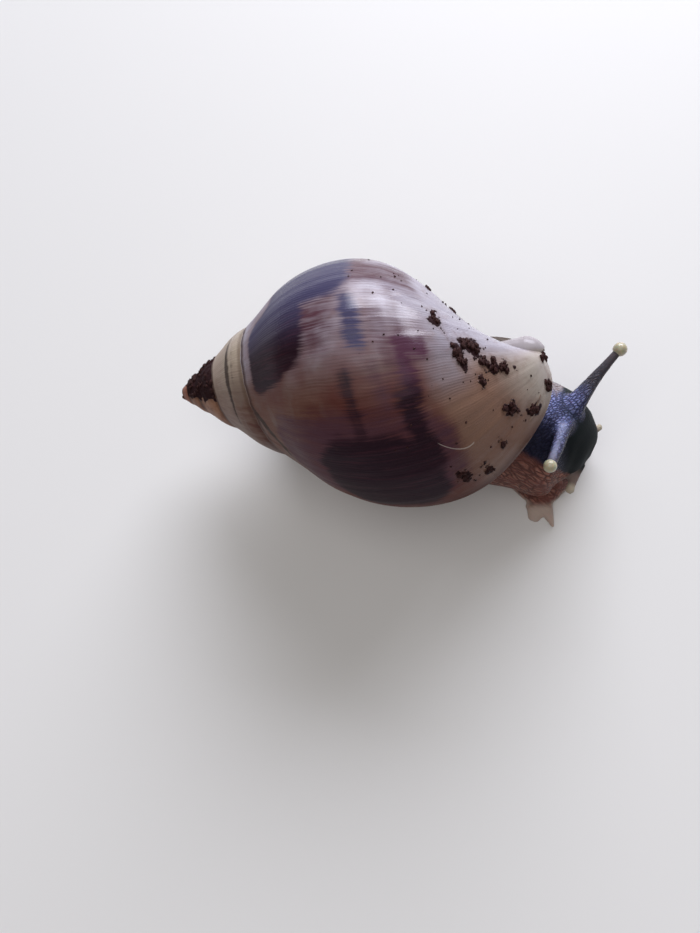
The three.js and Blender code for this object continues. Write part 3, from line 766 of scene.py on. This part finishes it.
    spacing = settings.rib_spacing / MM
    ribs = (lines * (FULL_TURN / spacing)).sine() * 0.5 + 0.5
    ribs = ribs * paint.noise(paint.vector(lines * 0.8, angle * 3.0, 1.0), 1.0, 2.0).rise(0.25, 0.65)
    scratches = paint.noise(paint.vector(lines * 4.0, angle * 1.2, 0.0), 1.0, 3.0, 0.7)
    height = (ribs * 0.5 + scratches * 0.4) * (calm * 0.85 + 0.15)
    normal = paint.bump(height, settings.rib_height / MM, 0.6)
    normal = paint.bump(clods * crust, 0.5, 1.0, normal)
    matte = (paint.number("brown_and_painted_shade") * 0.28).greater(angle.rise(-0.4, -0.9) * 0.28)
    rough = 0.2 + matte + mottle * 0.1 + crust * 0.5 + specks * 0.2
    polish = turn.rise(-0.38, -0.28) * turn.rise(-0.06, -0.16) * angle.rise(-0.4, 0.1)
    polish = polish * (1 - paint.number("brown_and_painted_shade")) * (1 - crust)
    return paint.surface({"Base Color": colour, "Roughness": rough, "Normal": normal,
                          "IOR": 1.25, "Specular Tint": (0.75, 0.74, 1.0, 1.0),
                          "Coat Weight": polish * 0.48, "Coat Roughness": 0.18})


def crumb_parts(generator):
    """Crumbs of soil as lumpy balls sunk by half: each is a ball whose radius swells and dips by
    three sines of the direction, flattened along the shell's normal."""
    clods = np.array(CLODS)
    heaps = np.repeat(clods, 9, axis=0)
    spread = generator.normal(size=(len(heaps), 2)) * heaps[:, 2:] * 0.45
    size = generator.uniform(0.22, 0.62, len(heaps)) * np.sqrt(heaps[:, 2])
    scale = GROWTH_PER_TURN ** heaps[:, 0]
    turn = heaps[:, 0] + spread[:, 0] / (TURN_LENGTH * 0.6 * scale)
    angle = heaps[:, 1] + spread[:, 1] / (ANGLE_LENGTH * scale)
    loose = 70
    turn = np.append(turn, generator.uniform(-0.42, -0.03, loose))
    angle = np.append(angle, generator.uniform(0.1, 1.7, loose))
    size = np.append(size, generator.uniform(0.08, 0.2, loose))
    crust = 420
    spire_turn = generator.uniform(-3.9, -2.0, crust)
    kept = leftness(spire_turn) > generator.uniform(-0.85, 0.4, crust)
    spire_turn = spire_turn[kept]
    turn = np.append(turn, spire_turn)
    angle = np.append(angle, generator.uniform(UPPER_SUTURE + 0.1, LOWER_SUTURE, len(spire_turn)))
    size = np.append(size, generator.uniform(0.14, 0.46, len(spire_turn)))
    turn = np.minimum(turn, -0.006)

    seat = spiral_points(turn, *section(turn, angle, -SHELL_INSET))
    above = spiral_points(turn, *section(turn, angle, 1.0))
    out = unit(above - seat)
    side = unit(np.cross(out, generator.normal(size=out.shape)))
    over = np.cross(out, side)
    ball, quads, caps = ball_part((0, 0, 0), (1, 1, 1), steps=8, sides=12)
    phase = generator.uniform(0, FULL_TURN, (len(turn), 3, 1))
    lumps = sum(np.sin(ball @ np.roll([3.1, 1.3, 2.2], k) * 1.5 + phase[:, k]) for k in range(3))
    radius = size[:, None] * (1 + 0.16 * lumps)
    local = ball[None] * np.array([1.0, 0.8, 0.6]) * radius[..., None]
    points = seat[:, None] + (local[..., :1] * side[:, None] + local[..., 1:2] * over[:, None]
                              + local[..., 2:] * out[:, None])
    start = (np.arange(len(turn)) * len(ball))[:, None, None]
    return (points.reshape(-1, 3), (quads[None] + start).reshape(-1, 4),
            (caps[None] + start).reshape(-1, 3))


def soil_material(settings):
    """Damp dark soil."""
    paint = Paint("soil_damp")
    grain = paint.noise(paint.place(), 3.0, 3.0, 0.6)
    colour = paint.mix(grain.rise(0.35, 0.7), settings.soil, (0.046, 0.016, 0.015))
    normal = paint.bump(grain, 0.12, 1.0)
    return paint.surface({"Base Color": colour, "Roughness": 0.75, "Normal": normal,
                          "IOR": 1.25})


class SNAIL_OT_shell(Operator):
    """Builds the spire and the last whorl"""
    bl_idname = "snail.shell"
    bl_label = "Shell"

    def execute(self, context):
        settings = context.scene.snail_shell
        material = shell_material(settings)
        piece = self.whorls("shell_spire_whorls", [spire_part()])
        dress(piece, material, ("shell_apex", "shell_spire", "shell_penultimate_whorl"))
        piece = self.whorls("shell_last_whorl", [body_part(settings.steps), callus_part()])
        dress(piece, material, ("shell_body_whorl",))
        return {"FINISHED"}

    @staticmethod
    def whorls(name, tubes):
        """A piece of closed tubes, with the material's numbers at each ring point and tube end."""
        piece = new_piece(name, join_parts([tube[0] for tube in tubes]))
        ends = [0, -1]
        turn, angle, inner = (np.concatenate([np.append(tube[k].ravel(), tube[k][ends, 0])
                                              for tube in tubes]) for k in (1, 2, 3))
        for number, values in shell_numbers(turn, angle, inner).items():
            add_numbers(piece, number, values)
        return piece


class SNAIL_OT_soil(Operator):
    """Builds the crumbs of soil on the shell"""
    bl_idname = "snail.soil"
    bl_label = "Soil"

    def execute(self, context):
        generator = np.random.default_rng(SEED)
        piece = new_piece("soil_crumbs", crumb_parts(generator))
        dress(piece, soil_material(context.scene.snail_shell), ())
        return {"FINISHED"}


# ---- Soft body -------------------------------------------------------------------------------

def left_of(rows, place):
    """Unit sideways directions, to the left of the line through rows' first two numbers."""
    step = 0.01
    before = values_along(rows, np.maximum(place - step, 0))
    after = values_along(rows, np.minimum(place + step, 1))
    run = after - before
    return unit(np.stack([-run[:, 1], run[:, 0], np.zeros(len(place))], -1))


def sole_part(stations, steps, sides):
    """A flat sole with an arched back: half an ellipse over the floor at each place."""
    place = np.linspace(0, 1, steps)
    x, y, half_width, height = values_along(stations, place).T
    angle = np.linspace(0, FULL_TURN, sides, endpoint=False)
    rise = np.maximum(np.sin(angle), 0)
    side = left_of(stations, place)
    middle = np.stack([x, y, 0 * x], -1)
    points = (middle[:, None, :] + (half_width[:, None] * np.cos(angle))[..., None] * side[:, None, :])
    points[..., 2] = np.maximum(height, 0.1)[:, None] * rise
    return closed_tube(points)


def neck_part(steps, sides):
    """Neck and head: at each place an ellipse whose upper and lower halves have their own
    heights from the widest level."""
    place = np.linspace(0, 1, steps)
    x, y, half_width, low, widest, high = values_along(NECK_STATIONS, place).T
    angle = np.linspace(0, FULL_TURN, sides, endpoint=False)
    side = left_of(NECK_STATIONS, place)
    up = np.where(np.sin(angle) > 0, (high - widest)[:, None], (widest - low)[:, None])
    middle = np.stack([x, y, widest], -1)
    points = middle[:, None, :] + (half_width[:, None] * np.cos(angle))[..., None] * side[:, None, :]
    points[..., 2] += up * np.sin(angle)
    return closed_tube(points)


def trunk_part(steps, sides):
    """The trunk: a ring just inside the aperture drawn in straight lines to an oval in the foot,
    with a waist half-way."""
    angle = np.linspace(0, FULL_TURN, sides, endpoint=False)
    radius, height = section(np.zeros(sides), angle, -TRUNK_INSET)
    top = spiral_points(np.zeros(sides), np.maximum(radius, COLUMELLA_RADIUS), height)
    top = top - TRUNK_SETBACK * FACING
    along = TRUNK_BASE_HALF_LENGTH * np.sin(angle)
    across = -TRUNK_BASE_HALF_WIDTH * np.cos(angle)
    cosine, sine = math.cos(TRUNK_BASE_HEADING), math.sin(TRUNK_BASE_HEADING)
    low = TRUNK_BASE + np.stack([along * cosine - across * sine,
                                 along * sine + across * cosine, 0 * angle], -1)
    share = np.linspace(0, 1, steps)[:, None, None]
    points = top * (1 - share) + low * share
    middle = points.mean(1, keepdims=True)
    waist = TRUNK_WAIST * np.sin(math.pi * share)
    return closed_tube(points + (middle - points) * waist)


def tentacle_part(path, radii, steps=40, sides=20):
    """A round taper along a path: rings square to the path, whose radius runs through radii."""
    place = np.linspace(0, 1, steps)
    centre = values_along(path, place)
    run = unit(np.gradient(centre, axis=0))
    side = unit(np.cross(run, [0.0, 0.0, 1.0]))
    over = np.cross(side, run)
    radius = values_along([[r] for r in radii], place)[:, 0]
    return closed_tube(ring_points(centre, side, over, radius, sides))


def ring_points(centre, side, over, radius, sides):
    """Circles about centres, spanned by two unit directions."""
    angle = np.linspace(0, FULL_TURN, sides, endpoint=False)
    return (centre[:, None, :] + radius[:, None, None]
            * (np.cos(angle)[None, :, None] * side[:, None, :]
               + np.sin(angle)[None, :, None] * over[:, None, :]))


def ball_part(centre, radii, steps=24, sides=32):
    """An ellipsoid: circles whose radius is the sine of the angle from its pole."""
    polar = np.linspace(0, math.pi, steps + 2)[1:-1]
    angle = np.linspace(0, FULL_TURN, sides, endpoint=False)
    points = np.stack([np.sin(polar)[:, None] * np.cos(angle),
                       np.sin(polar)[:, None] * np.sin(angle),
                       np.cos(polar)[:, None] + 0 * angle], -1)
    return closed_tube(points * np.asarray(radii) + np.asarray(centre))


def collar_part():
    """The mantle's edge: the section at the aperture drawn in from the lip, as a round band."""
    angle = np.linspace(0, FULL_TURN, 160, endpoint=False)
    round_ = np.linspace(0, FULL_TURN, 20, endpoint=False)
    a, r = np.meshgrid(angle, round_, indexing="ij")
    radius, height = section(0 * a, a, -LIP_THICKNESS - 1.7 + 1.3 * np.cos(r))
    points = spiral_points(0 * a, np.maximum(radius, COLUMELLA_RADIUS), height)
    return points - (1.6 - 1.2 * np.sin(r))[..., None] * FACING


def path_offsets(points, path, samples=60):
    """(offset, place) of each point from the nearest sample of a smooth path."""
    place = np.linspace(0, 1, samples)
    line = values_along(path, place)
    gaps = np.linalg.norm(points[:, None, :] - line[None], axis=-1)
    nearest = gaps.argmin(1)
    return points - line[nearest], place[nearest]


def skin_part():
    """Foot with its front folds, trunk, neck and head, and tentacles, before they are joined."""
    parts = [sole_part(FOOT_STATIONS, 160, 96), neck_part(100, 96), trunk_part(24, 96)]
    parts += [sole_part(stations, 24, 32) for stations in FRONT_FOLDS]
    for tentacles in (UPPER_TENTACLES, LOWER_TENTACLES):
        parts += [tentacle_part(path, radii) for path, radii, _ in tentacles.values()]
    parts += [ball_part(path[-1], (tip, tip, tip)) for path, _, tip in LOWER_TENTACLES.values()]
    return join_parts(parts)


def joined_skin(part, voxel):
    """The parts as one skin: voxels, then smoothing."""
    rough = new_piece("rough_skin", part)
    remesh = rough.modifiers.new("joined", "REMESH")
    remesh.mode = "VOXEL"
    remesh.voxel_size = voxel
    remesh.use_smooth_shade = True
    soften = rough.modifiers.new("soft", "SMOOTH")
    soften.factor = 0.5
    soften.iterations = 5
    graph = bpy.context.evaluated_depsgraph_get()
    mesh = bpy.data.meshes.new_from_object(rough.evaluated_get(graph))
    bpy.data.objects.remove(rough)
    mesh.name = "soft_body_skin"
    piece = bpy.data.objects.new("soft_body_skin", mesh)
    bpy.context.scene.collection.objects.link(piece)
    return piece


# Height of the edge between the dark back and the brown flanks, by x, on the right and left.
DARK_EDGE = (
    (24.4, 14.5, 14.8),
    (27.4, 13.3, 14.4),
    (30.3, 10.3, 13.6),
    (31.3, 8.0, 11.8),
    (32.5, 5.5, 8.0),
    (34.0, 3.0, 3.4),
)
MOUTH = np.array([35.1, -9.9, 3.4])
MOUTH_HALF_WIDTH = 1.5
# Directions along a tubercle of the flank, over it and out of it, with its sizes that way; the
# second number of each runs away from the middle of the neck, on either side.
TUBERCLE_AXES = ((0.721, 0.515, -0.463), (0.581, -0.814, 0.0), (-0.377, -0.269, -0.886))
TUBERCLE_SIZES = (1.9, 0.58, 0.58)
NECK_MIDDLE = -5.3
# The direction towards the light: on this side of the tentacles their grains get a painted blue sheen.
LIT_FROM = np.array([-0.12, 0.2, 0.97])


def skin_numbers(points):
    """What the skin's material reads at each point: millimetres above the edge of the dark back,
    millimetres inside the mouth's slit, and from 0 to 1 how pale it is, how far to the left, how
    much painted blue sheen its grains get on the side towards the light, and how far up a tentacle."""
    x, y, z = points.T
    at, right_edge, left_edge = np.array(DARK_EDGE).T
    left = smooth_step(y, -8.0, -4.0)
    edge = np.interp(x, at, right_edge) * (1 - left) + np.interp(x, at, left_edge) * left
    back = np.clip(z - edge, -5, 5)
    rim = 1 - smooth_step(z, 0.4, 1.6)
    folds = smooth_step(-y, 17.0, 18.4) * (1 - smooth_step(z, 2.5, 4.5)) * smooth_step(x, 24, 26)
    across = np.abs(y - MOUTH[1])
    curve = z - MOUTH[2] + 0.25 * across ** 2
    mouth = 0.3 - np.hypot(np.maximum(across - MOUTH_HALF_WIDTH, 0), curve)
    # Painted sheen: the neck's left side, towards the window light, and each upper tentacle's side
    # towards LIT_FROM get a painted blue sheen on their grains.
    painted_glint_side = smooth_step(y, -9.5, -5.0)
    stalk = np.zeros(len(points))
    for path, radii, _ in UPPER_TENTACLES.values():
        away, place = path_offsets(points, path)
        reach = values_along([[r] for r in radii], place)[:, 0]
        on_it = 1 - smooth_step(np.linalg.norm(away, axis=1), reach * 1.05, reach * 1.5 + 0.2)
        shown = np.clip(unit(away) @ LIT_FROM, 0, 1) ** 1.5
        painted_glint_side = painted_glint_side + (shown - painted_glint_side) * on_it * smooth_step(place, 0.1, 0.35)
        stalk = np.maximum(stalk, place * on_it)
    feeler = np.zeros(len(points))
    for path, _, _ in LOWER_TENTACLES.values():
        away, place = path_offsets(points, path)
        feeler = np.maximum(feeler, np.where(np.linalg.norm(away, axis=1) < 1.5, place, 0))
    return {
        "back": back,
        "left": left,
        "painted_glint_side": painted_glint_side,
        "mouth": np.where(x > 33.5, mouth, -5),
        "pale": np.maximum(rim, folds),
        "stalk": stalk,
        "feeler": feeler,
    }


def skin_material(settings):
    """Blue-black granular neck whose grains carry a painted blue sheen on the side towards the light,
    smooth dark head, red-brown flanks with long pale tubercles between dark grooves, the left flank
    painted pale, partly as painted light, pale foot edge and folds, tentacles fading to grey."""
    paint = Paint("skin_moist_granular")
    place = paint.place()
    x, y, z = paint.parts(place)
    drift = paint.noise(place, 0.3, 3.0) - 0.5
    dark = (paint.number("back") + drift * 2.6).rise(-0.6, 0.8)
    pale = paint.number("pale")
    stalk = paint.number("stalk")
    feeler = paint.number("feeler")
    left = paint.number("left")
    head = x.rise(23.8, 26.0) * stalk.rise(0.3, 0.12)
    right_stalk = y.rise(NECK_MIDDLE + 0.3, NECK_MIDDLE - 1.2) * stalk.rise(0.12, 0.3)

    # Tubercles are long and slope forwards and down the flanks; on the back they are round.
    swept = paint.vector(x + drift * 1.8, (y - NECK_MIDDLE).absolute(), z + drift * 1.4)
    seat = paint.vector(*(paint.along(swept, tuple(part / size for part in axis))
                          for axis, size in zip(TUBERCLE_AXES, TUBERCLE_SIZES)))
    edge = paint.cells(seat, 1.0)
    tint, _, _ = paint.parts(paint.cells(seat, 1.0, "F1", "Color"))
    long_way = paint.along(place, (0.85, 0.5, 0.0)) * 1.1 + drift
    short_way = paint.along(place, (-0.5, 0.85, 0.0)) * 2.9 + drift
    grain_edge = paint.cells(paint.vector(long_way, short_way, z * 2.0), 1.0)

    lump = paint.mix(tint, (0.34, 0.155, 0.118), (0.24, 0.1, 0.074))
    flank = paint.mix(edge.rise(0.28, 0.0) * 0.9, lump, (0.075, 0.024, 0.019))
    flank = paint.mix(paint.noise(place, 0.35, 3.0).rise(0.45, 0.65) * 0.7, flank, settings.brown)
    # The left flank, towards the window light, is painted pale pink-grey: partly its own paler skin,
    # partly painted light.
    pale_and_lit_flank = paint.mix(grain_edge.rise(0.02, 0.2), (0.15, 0.11, 0.115), (0.27, 0.25, 0.27))
    flank = paint.mix(left * 0.9, flank, pale_and_lit_flank)
    # Painted sheen: grains on the side towards the light are painted blue and blue-white, and the
    # right tentacle's upper side gets a broad painted blue highlight.
    painted_glint_side = paint.number("painted_glint_side") * (drift + 1.0)
    painted_sheen = (grain_edge.rise(0.0, 0.22) * 0.7 + 0.3) * (painted_glint_side * 0.93 + 0.07)
    back = paint.mix(painted_sheen, settings.dark, (0.15, 0.17, 0.38))
    back = paint.mix(grain_edge.rise(0.1, 0.3) * painted_glint_side * 0.6, back, (0.3, 0.32, 0.6))
    back = paint.mix(right_stalk * painted_glint_side.rise(0.5, 1.0) * 0.85, back, (0.33, 0.36, 0.56))
    back = paint.mix(head, back, (0.005, 0.008, 0.008))
    back = paint.mix(stalk.rise(0.3, 0.6) * (1 - right_stalk * 0.7), back, (0.055, 0.05, 0.06))
    back = paint.mix(stalk.rise(0.7, 1.0) * 0.8, back, (0.1, 0.082, 0.088))
    colour = paint.mix(dark, flank, back)
    colour = paint.mix(pale * 0.9, colour, settings.pale)
    colour = paint.mix(feeler.rise(0.1, 0.5), colour, (0.2, 0.15, 0.135))
    colour = paint.mix(feeler.rise(0.7, 0.9), colour, (0.42, 0.37, 0.29))
    mouth = paint.number("mouth")
    colour = paint.mix(mouth.rise(-0.9, -0.1) * 0.5, colour, (0.12, 0.07, 0.06))
    colour = paint.mix(mouth.rise(-0.1, 0.15), colour, (0.01, 0.006, 0.006))

    smooth = pale.greater(stalk.rise(0.45, 0.8)).greater(feeler.rise(0.05, 0.4)).greater(head)
    relief = edge.rise(0.0, 0.4) * (1 - dark) + grain_edge.rise(0.0, 0.3) * dark * (painted_glint_side * 0.8 + 0.2)
    normal = paint.bump(relief * (1 - smooth * 0.85) - mouth.rise(-0.3, 0.2), 0.2, 0.9)
    pores = paint.noise(place, 3.0, 3.0, 0.6)
    normal = paint.bump(pores, 0.03, 0.5, normal)
    rough = 0.34 - dark * 0.12 + pores * 0.08 + head * dark * 0.35
    return paint.surface({"Base Color": colour, "Roughness": rough, "Normal": normal,
                          "IOR": 1.2, "Specular Tint": (0.75, 0.8, 1.0, 1.0),
                          "Subsurface Weight": 0.1, "Subsurface Scale": 0.0006,
                          "Coat Weight": (1 - dark) * 0.08, "Coat Roughness": 0.2})


class SNAIL_OT_skin(Operator):
    """Builds the one skin of foot, trunk, neck, head and tentacles"""
    bl_idname = "snail.skin"
    bl_label = "Skin"

    def execute(self, context):
        settings = context.scene.snail_skin
        piece = joined_skin(skin_part(), settings.voxel)
        count = len(piece.data.vertices)
        points = np.empty(count * 3)
        piece.data.vertices.foreach_get("co", points)
        points = points.reshape(-1, 3)
        points[:, 2] = np.maximum(points[:, 2], 0)
        piece.data.vertices.foreach_set("co", points.ravel())
        piece.data.update()
        for name, values in skin_numbers(points / MM - CENTRING).items():
            add_numbers(piece, name, values)
        nodes = ["foot_tail", "foot_middle", "foot_front", "trunk", "neck", "head"]
        for side in ("left", "right"):
            nodes += [f"{side}_upper_tentacle", f"{side}_lower_tentacle"]
        dress(piece, skin_material(settings), nodes)
        return {"FINISHED"}


def collar_material():
    """Moist mottled brown."""
    paint = Paint("mantle_moist")
    place = paint.place()
    mottle = paint.noise(place, 0.7, 3.0)
    colour = paint.mix(mottle.rise(0.35, 0.7), (0.32, 0.2, 0.13), (0.12, 0.07, 0.05))
    normal = paint.bump(paint.noise(place, 2.0, 3.0), 0.1, 0.7)
    return paint.surface({"Base Color": colour, "Roughness": 0.3 + mottle * 0.1,
                          "Normal": normal, "Coat Weight": 0.4, "Coat Roughness": 0.15})


class SNAIL_OT_collar(Operator):
    """Builds the mantle's edge inside the lip"""
    bl_idname = "snail.collar"
    bl_label = "Mantle collar"

    def execute(self, context):
        points = collar_part()
        rings, sides, _ = points.shape
        ring, side = np.meshgrid(np.arange(rings), np.arange(sides), indexing="ij")
        nxt, on = (ring + 1) % rings, (side + 1) % sides
        quads = np.stack([ring * sides + side, ring * sides + on,
                          nxt * sides + on, nxt * sides + side], -1).reshape(-1, 4)
        flat = points.reshape(-1, 3)
        a, b, c = flat[quads[:, 0]], flat[quads[:, 1]], flat[quads[:, 2]]
        middle = flat.mean(0)
        if np.einsum("ij,ij->i", a - middle, np.cross(b - middle, c - middle)).sum() < 0:
            quads = quads[:, ::-1]
        piece = new_piece("mantle_edge", (flat, quads, np.empty((0, 3), int)))
        dress(piece, collar_material(), ("mantle_collar",))
        return {"FINISHED"}


def knob_material(settings):
    """Pale moist knob with a small dark eye spot at its end, by the height stored on it."""
    paint = Paint("eye_knob_moist")
    tip = paint.number("tip")
    place = paint.place()
    mottle = paint.noise(place, 2.0, 2.0)
    colour = paint.mix(mottle.rise(0.3, 0.7) * 0.5, settings.knob, (0.5, 0.42, 0.25))
    colour = paint.mix(tip.rise(0.86, 0.93), colour, (0.015, 0.012, 0.012))
    return paint.surface({"Base Color": colour, "Roughness": 0.25 + mottle * 0.1,
                          "Subsurface Weight": 0.25, "Subsurface Scale": 0.0006,
                          "Coat Weight": 0.4, "Coat Roughness": 0.12})


class SNAIL_OT_eyes(Operator):
    """Builds the two eye knobs"""
    bl_idname = "snail.eyes"
    bl_label = "Eyes"

    def execute(self, context):
        material = knob_material(context.scene.snail_skin)
        for side, (path, _, tip) in UPPER_TENTACLES.items():
            points, quads, caps = ball_part(path[-1], (tip, tip, tip))
            piece = new_piece(f"{side}_eye_knob", (points, quads, caps))
            looking = unit(unit(np.array(path[-1]) - np.array(path[-2])) + np.array([0.5, 0.0, -0.7]))
            add_numbers(piece, "tip", (points - np.array(path[-1])) @ looking / tip)
            dress(piece, material, (f"{side}_eye",))
        return {"FINISHED"}


# ---- Stage -----------------------------------------------------------------------------------

CAMERA_PLACE = np.array([19.1, -44.6, 127.2])
CAMERA_FORWARD = (-0.1666, 0.2614, -0.9507)
CAMERA_UP = (0.0419, 0.9652, 0.2581)
CAMERA_LENS = 30.44
SENSOR = 36.0


def aimed(name, data, place, target):
    """A light or camera at a place, looking at a target, both in metres."""
    made = bpy.data.objects.new(name, data)
    bpy.context.scene.collection.objects.link(made)
    made.location = place
    made.rotation_euler = (Vector(target) - Vector(place)).to_track_quat("-Z", "Y").to_euler()
    return made


def panel_light(name, power, size, place, colour):
    """A rectangular area light that looks at the snail's middle."""
    light = bpy.data.lights.new(name, "AREA")
    light.energy = power
    light.shape = "RECTANGLE"
    light.size, light.size_y = size
    light.color = colour
    return aimed(name, light, place, (0, 0, 0.015))


class SNAIL_OT_stage(Operator):
    """Builds the floor, the lights, the world and the camera"""
    bl_idname = "snail.stage"
    bl_label = "Stage"

    def execute(self, context):
        settings = context.scene.snail_stage
        self.floor(settings)
        panel_light("window", settings.key, (0.72, 0.42), (0.17, 0.65, 0.37), (0.93, 0.94, 1.0))
        panel_light("ceiling", settings.fill, (0.5, 0.5), (-0.05, -0.1, 0.45), (1.0, 0.95, 0.9))
        world = bpy.data.worlds.new("studio")
        world.use_nodes = True
        world.node_tree.nodes["Background"].inputs["Color"].default_value = (1.0, 0.98, 0.97, 1)
        world.node_tree.nodes["Background"].inputs["Strength"].default_value = 0.15
        context.scene.world = world
        context.scene.view_settings.view_transform = "Standard"
        self.camera(context.scene)
        return {"FINISHED"}

    @staticmethod
    def floor(settings):
        """A wide square at the level of the sole."""
        half = 1500.0
        corners = np.array([[-half, -half, 0], [half, -half, 0], [half, half, 0], [-half, half, 0]])
        quads = np.array([[0, 1, 2, 3]])
        floor = new_piece("floor", (corners - CENTRING, quads, np.empty((0, 3), int)), False)
        paint = Paint("floor_pale")
        grain = paint.noise(paint.place(), 0.02, 2.0)
        colour = paint.mix(grain * 0.2, settings.floor, (0.72, 0.72, 0.72))
        floor.data.materials.append(paint.surface({"Base Color": colour, "Roughness": 0.6}))

    @staticmethod
    def camera(scene):
        """The camera, by its place, its forward direction and its up direction."""
        lens = bpy.data.cameras.new("camera")
        lens.lens = CAMERA_LENS
        lens.sensor_width = SENSOR
        lens.clip_start = 0.005
        camera = bpy.data.objects.new("camera", lens)
        scene.collection.objects.link(camera)
        forward = Vector(CAMERA_FORWARD).normalized()
        right = forward.cross(Vector(CAMERA_UP)).normalized()
        up = right.cross(forward)
        turn = Matrix((right, up, -forward)).transposed().to_4x4()
        camera.matrix_world = Matrix.Translation((CAMERA_PLACE + CENTRING) * MM) @ turn
        scene.camera = camera


# ---- Sidebar and registration ----------------------------------------------------------------

class SNAIL_PT_builder(Panel):
    """Lists the snail's pieces"""
    bl_label = "Giant Land Snail"
    bl_idname = "SNAIL_PT_builder"
    bl_space_type = "VIEW_3D"
    bl_region_type = "UI"
    bl_category = "Snail"

    def draw(self, context):
        scene = context.scene
        for settings in (scene.snail_shell, scene.snail_skin, scene.snail_stage):
            box = self.layout.box()
            for name in settings.__annotations__:
                box.prop(settings, name)
        for operator in OPERATORS:
            self.layout.operator(operator.bl_idname)


OPERATORS = (SNAIL_OT_shell, SNAIL_OT_soil, SNAIL_OT_collar, SNAIL_OT_skin, SNAIL_OT_eyes,
             SNAIL_OT_stage)
CLASSES = (ShellSettings, SkinSettings, StageSettings, *OPERATORS, SNAIL_PT_builder)


def register():
    for cls in CLASSES:
        bpy.utils.register_class(cls)
    bpy.types.Scene.snail_shell = PointerProperty(type=ShellSettings)
    bpy.types.Scene.snail_skin = PointerProperty(type=SkinSettings)
    bpy.types.Scene.snail_stage = PointerProperty(type=StageSettings)


def unregister():
    del bpy.types.Scene.snail_stage
    del bpy.types.Scene.snail_skin
    del bpy.types.Scene.snail_shell
    for cls in reversed(CLASSES):
        bpy.utils.unregister_class(cls)


def main():
    register()
    bpy.ops.snail.shell()
    bpy.ops.snail.soil()
    bpy.ops.snail.collar()
    bpy.ops.snail.skin()
    bpy.ops.snail.eyes()
    bpy.ops.snail.stage()


if __name__ == "__main__":
    main()
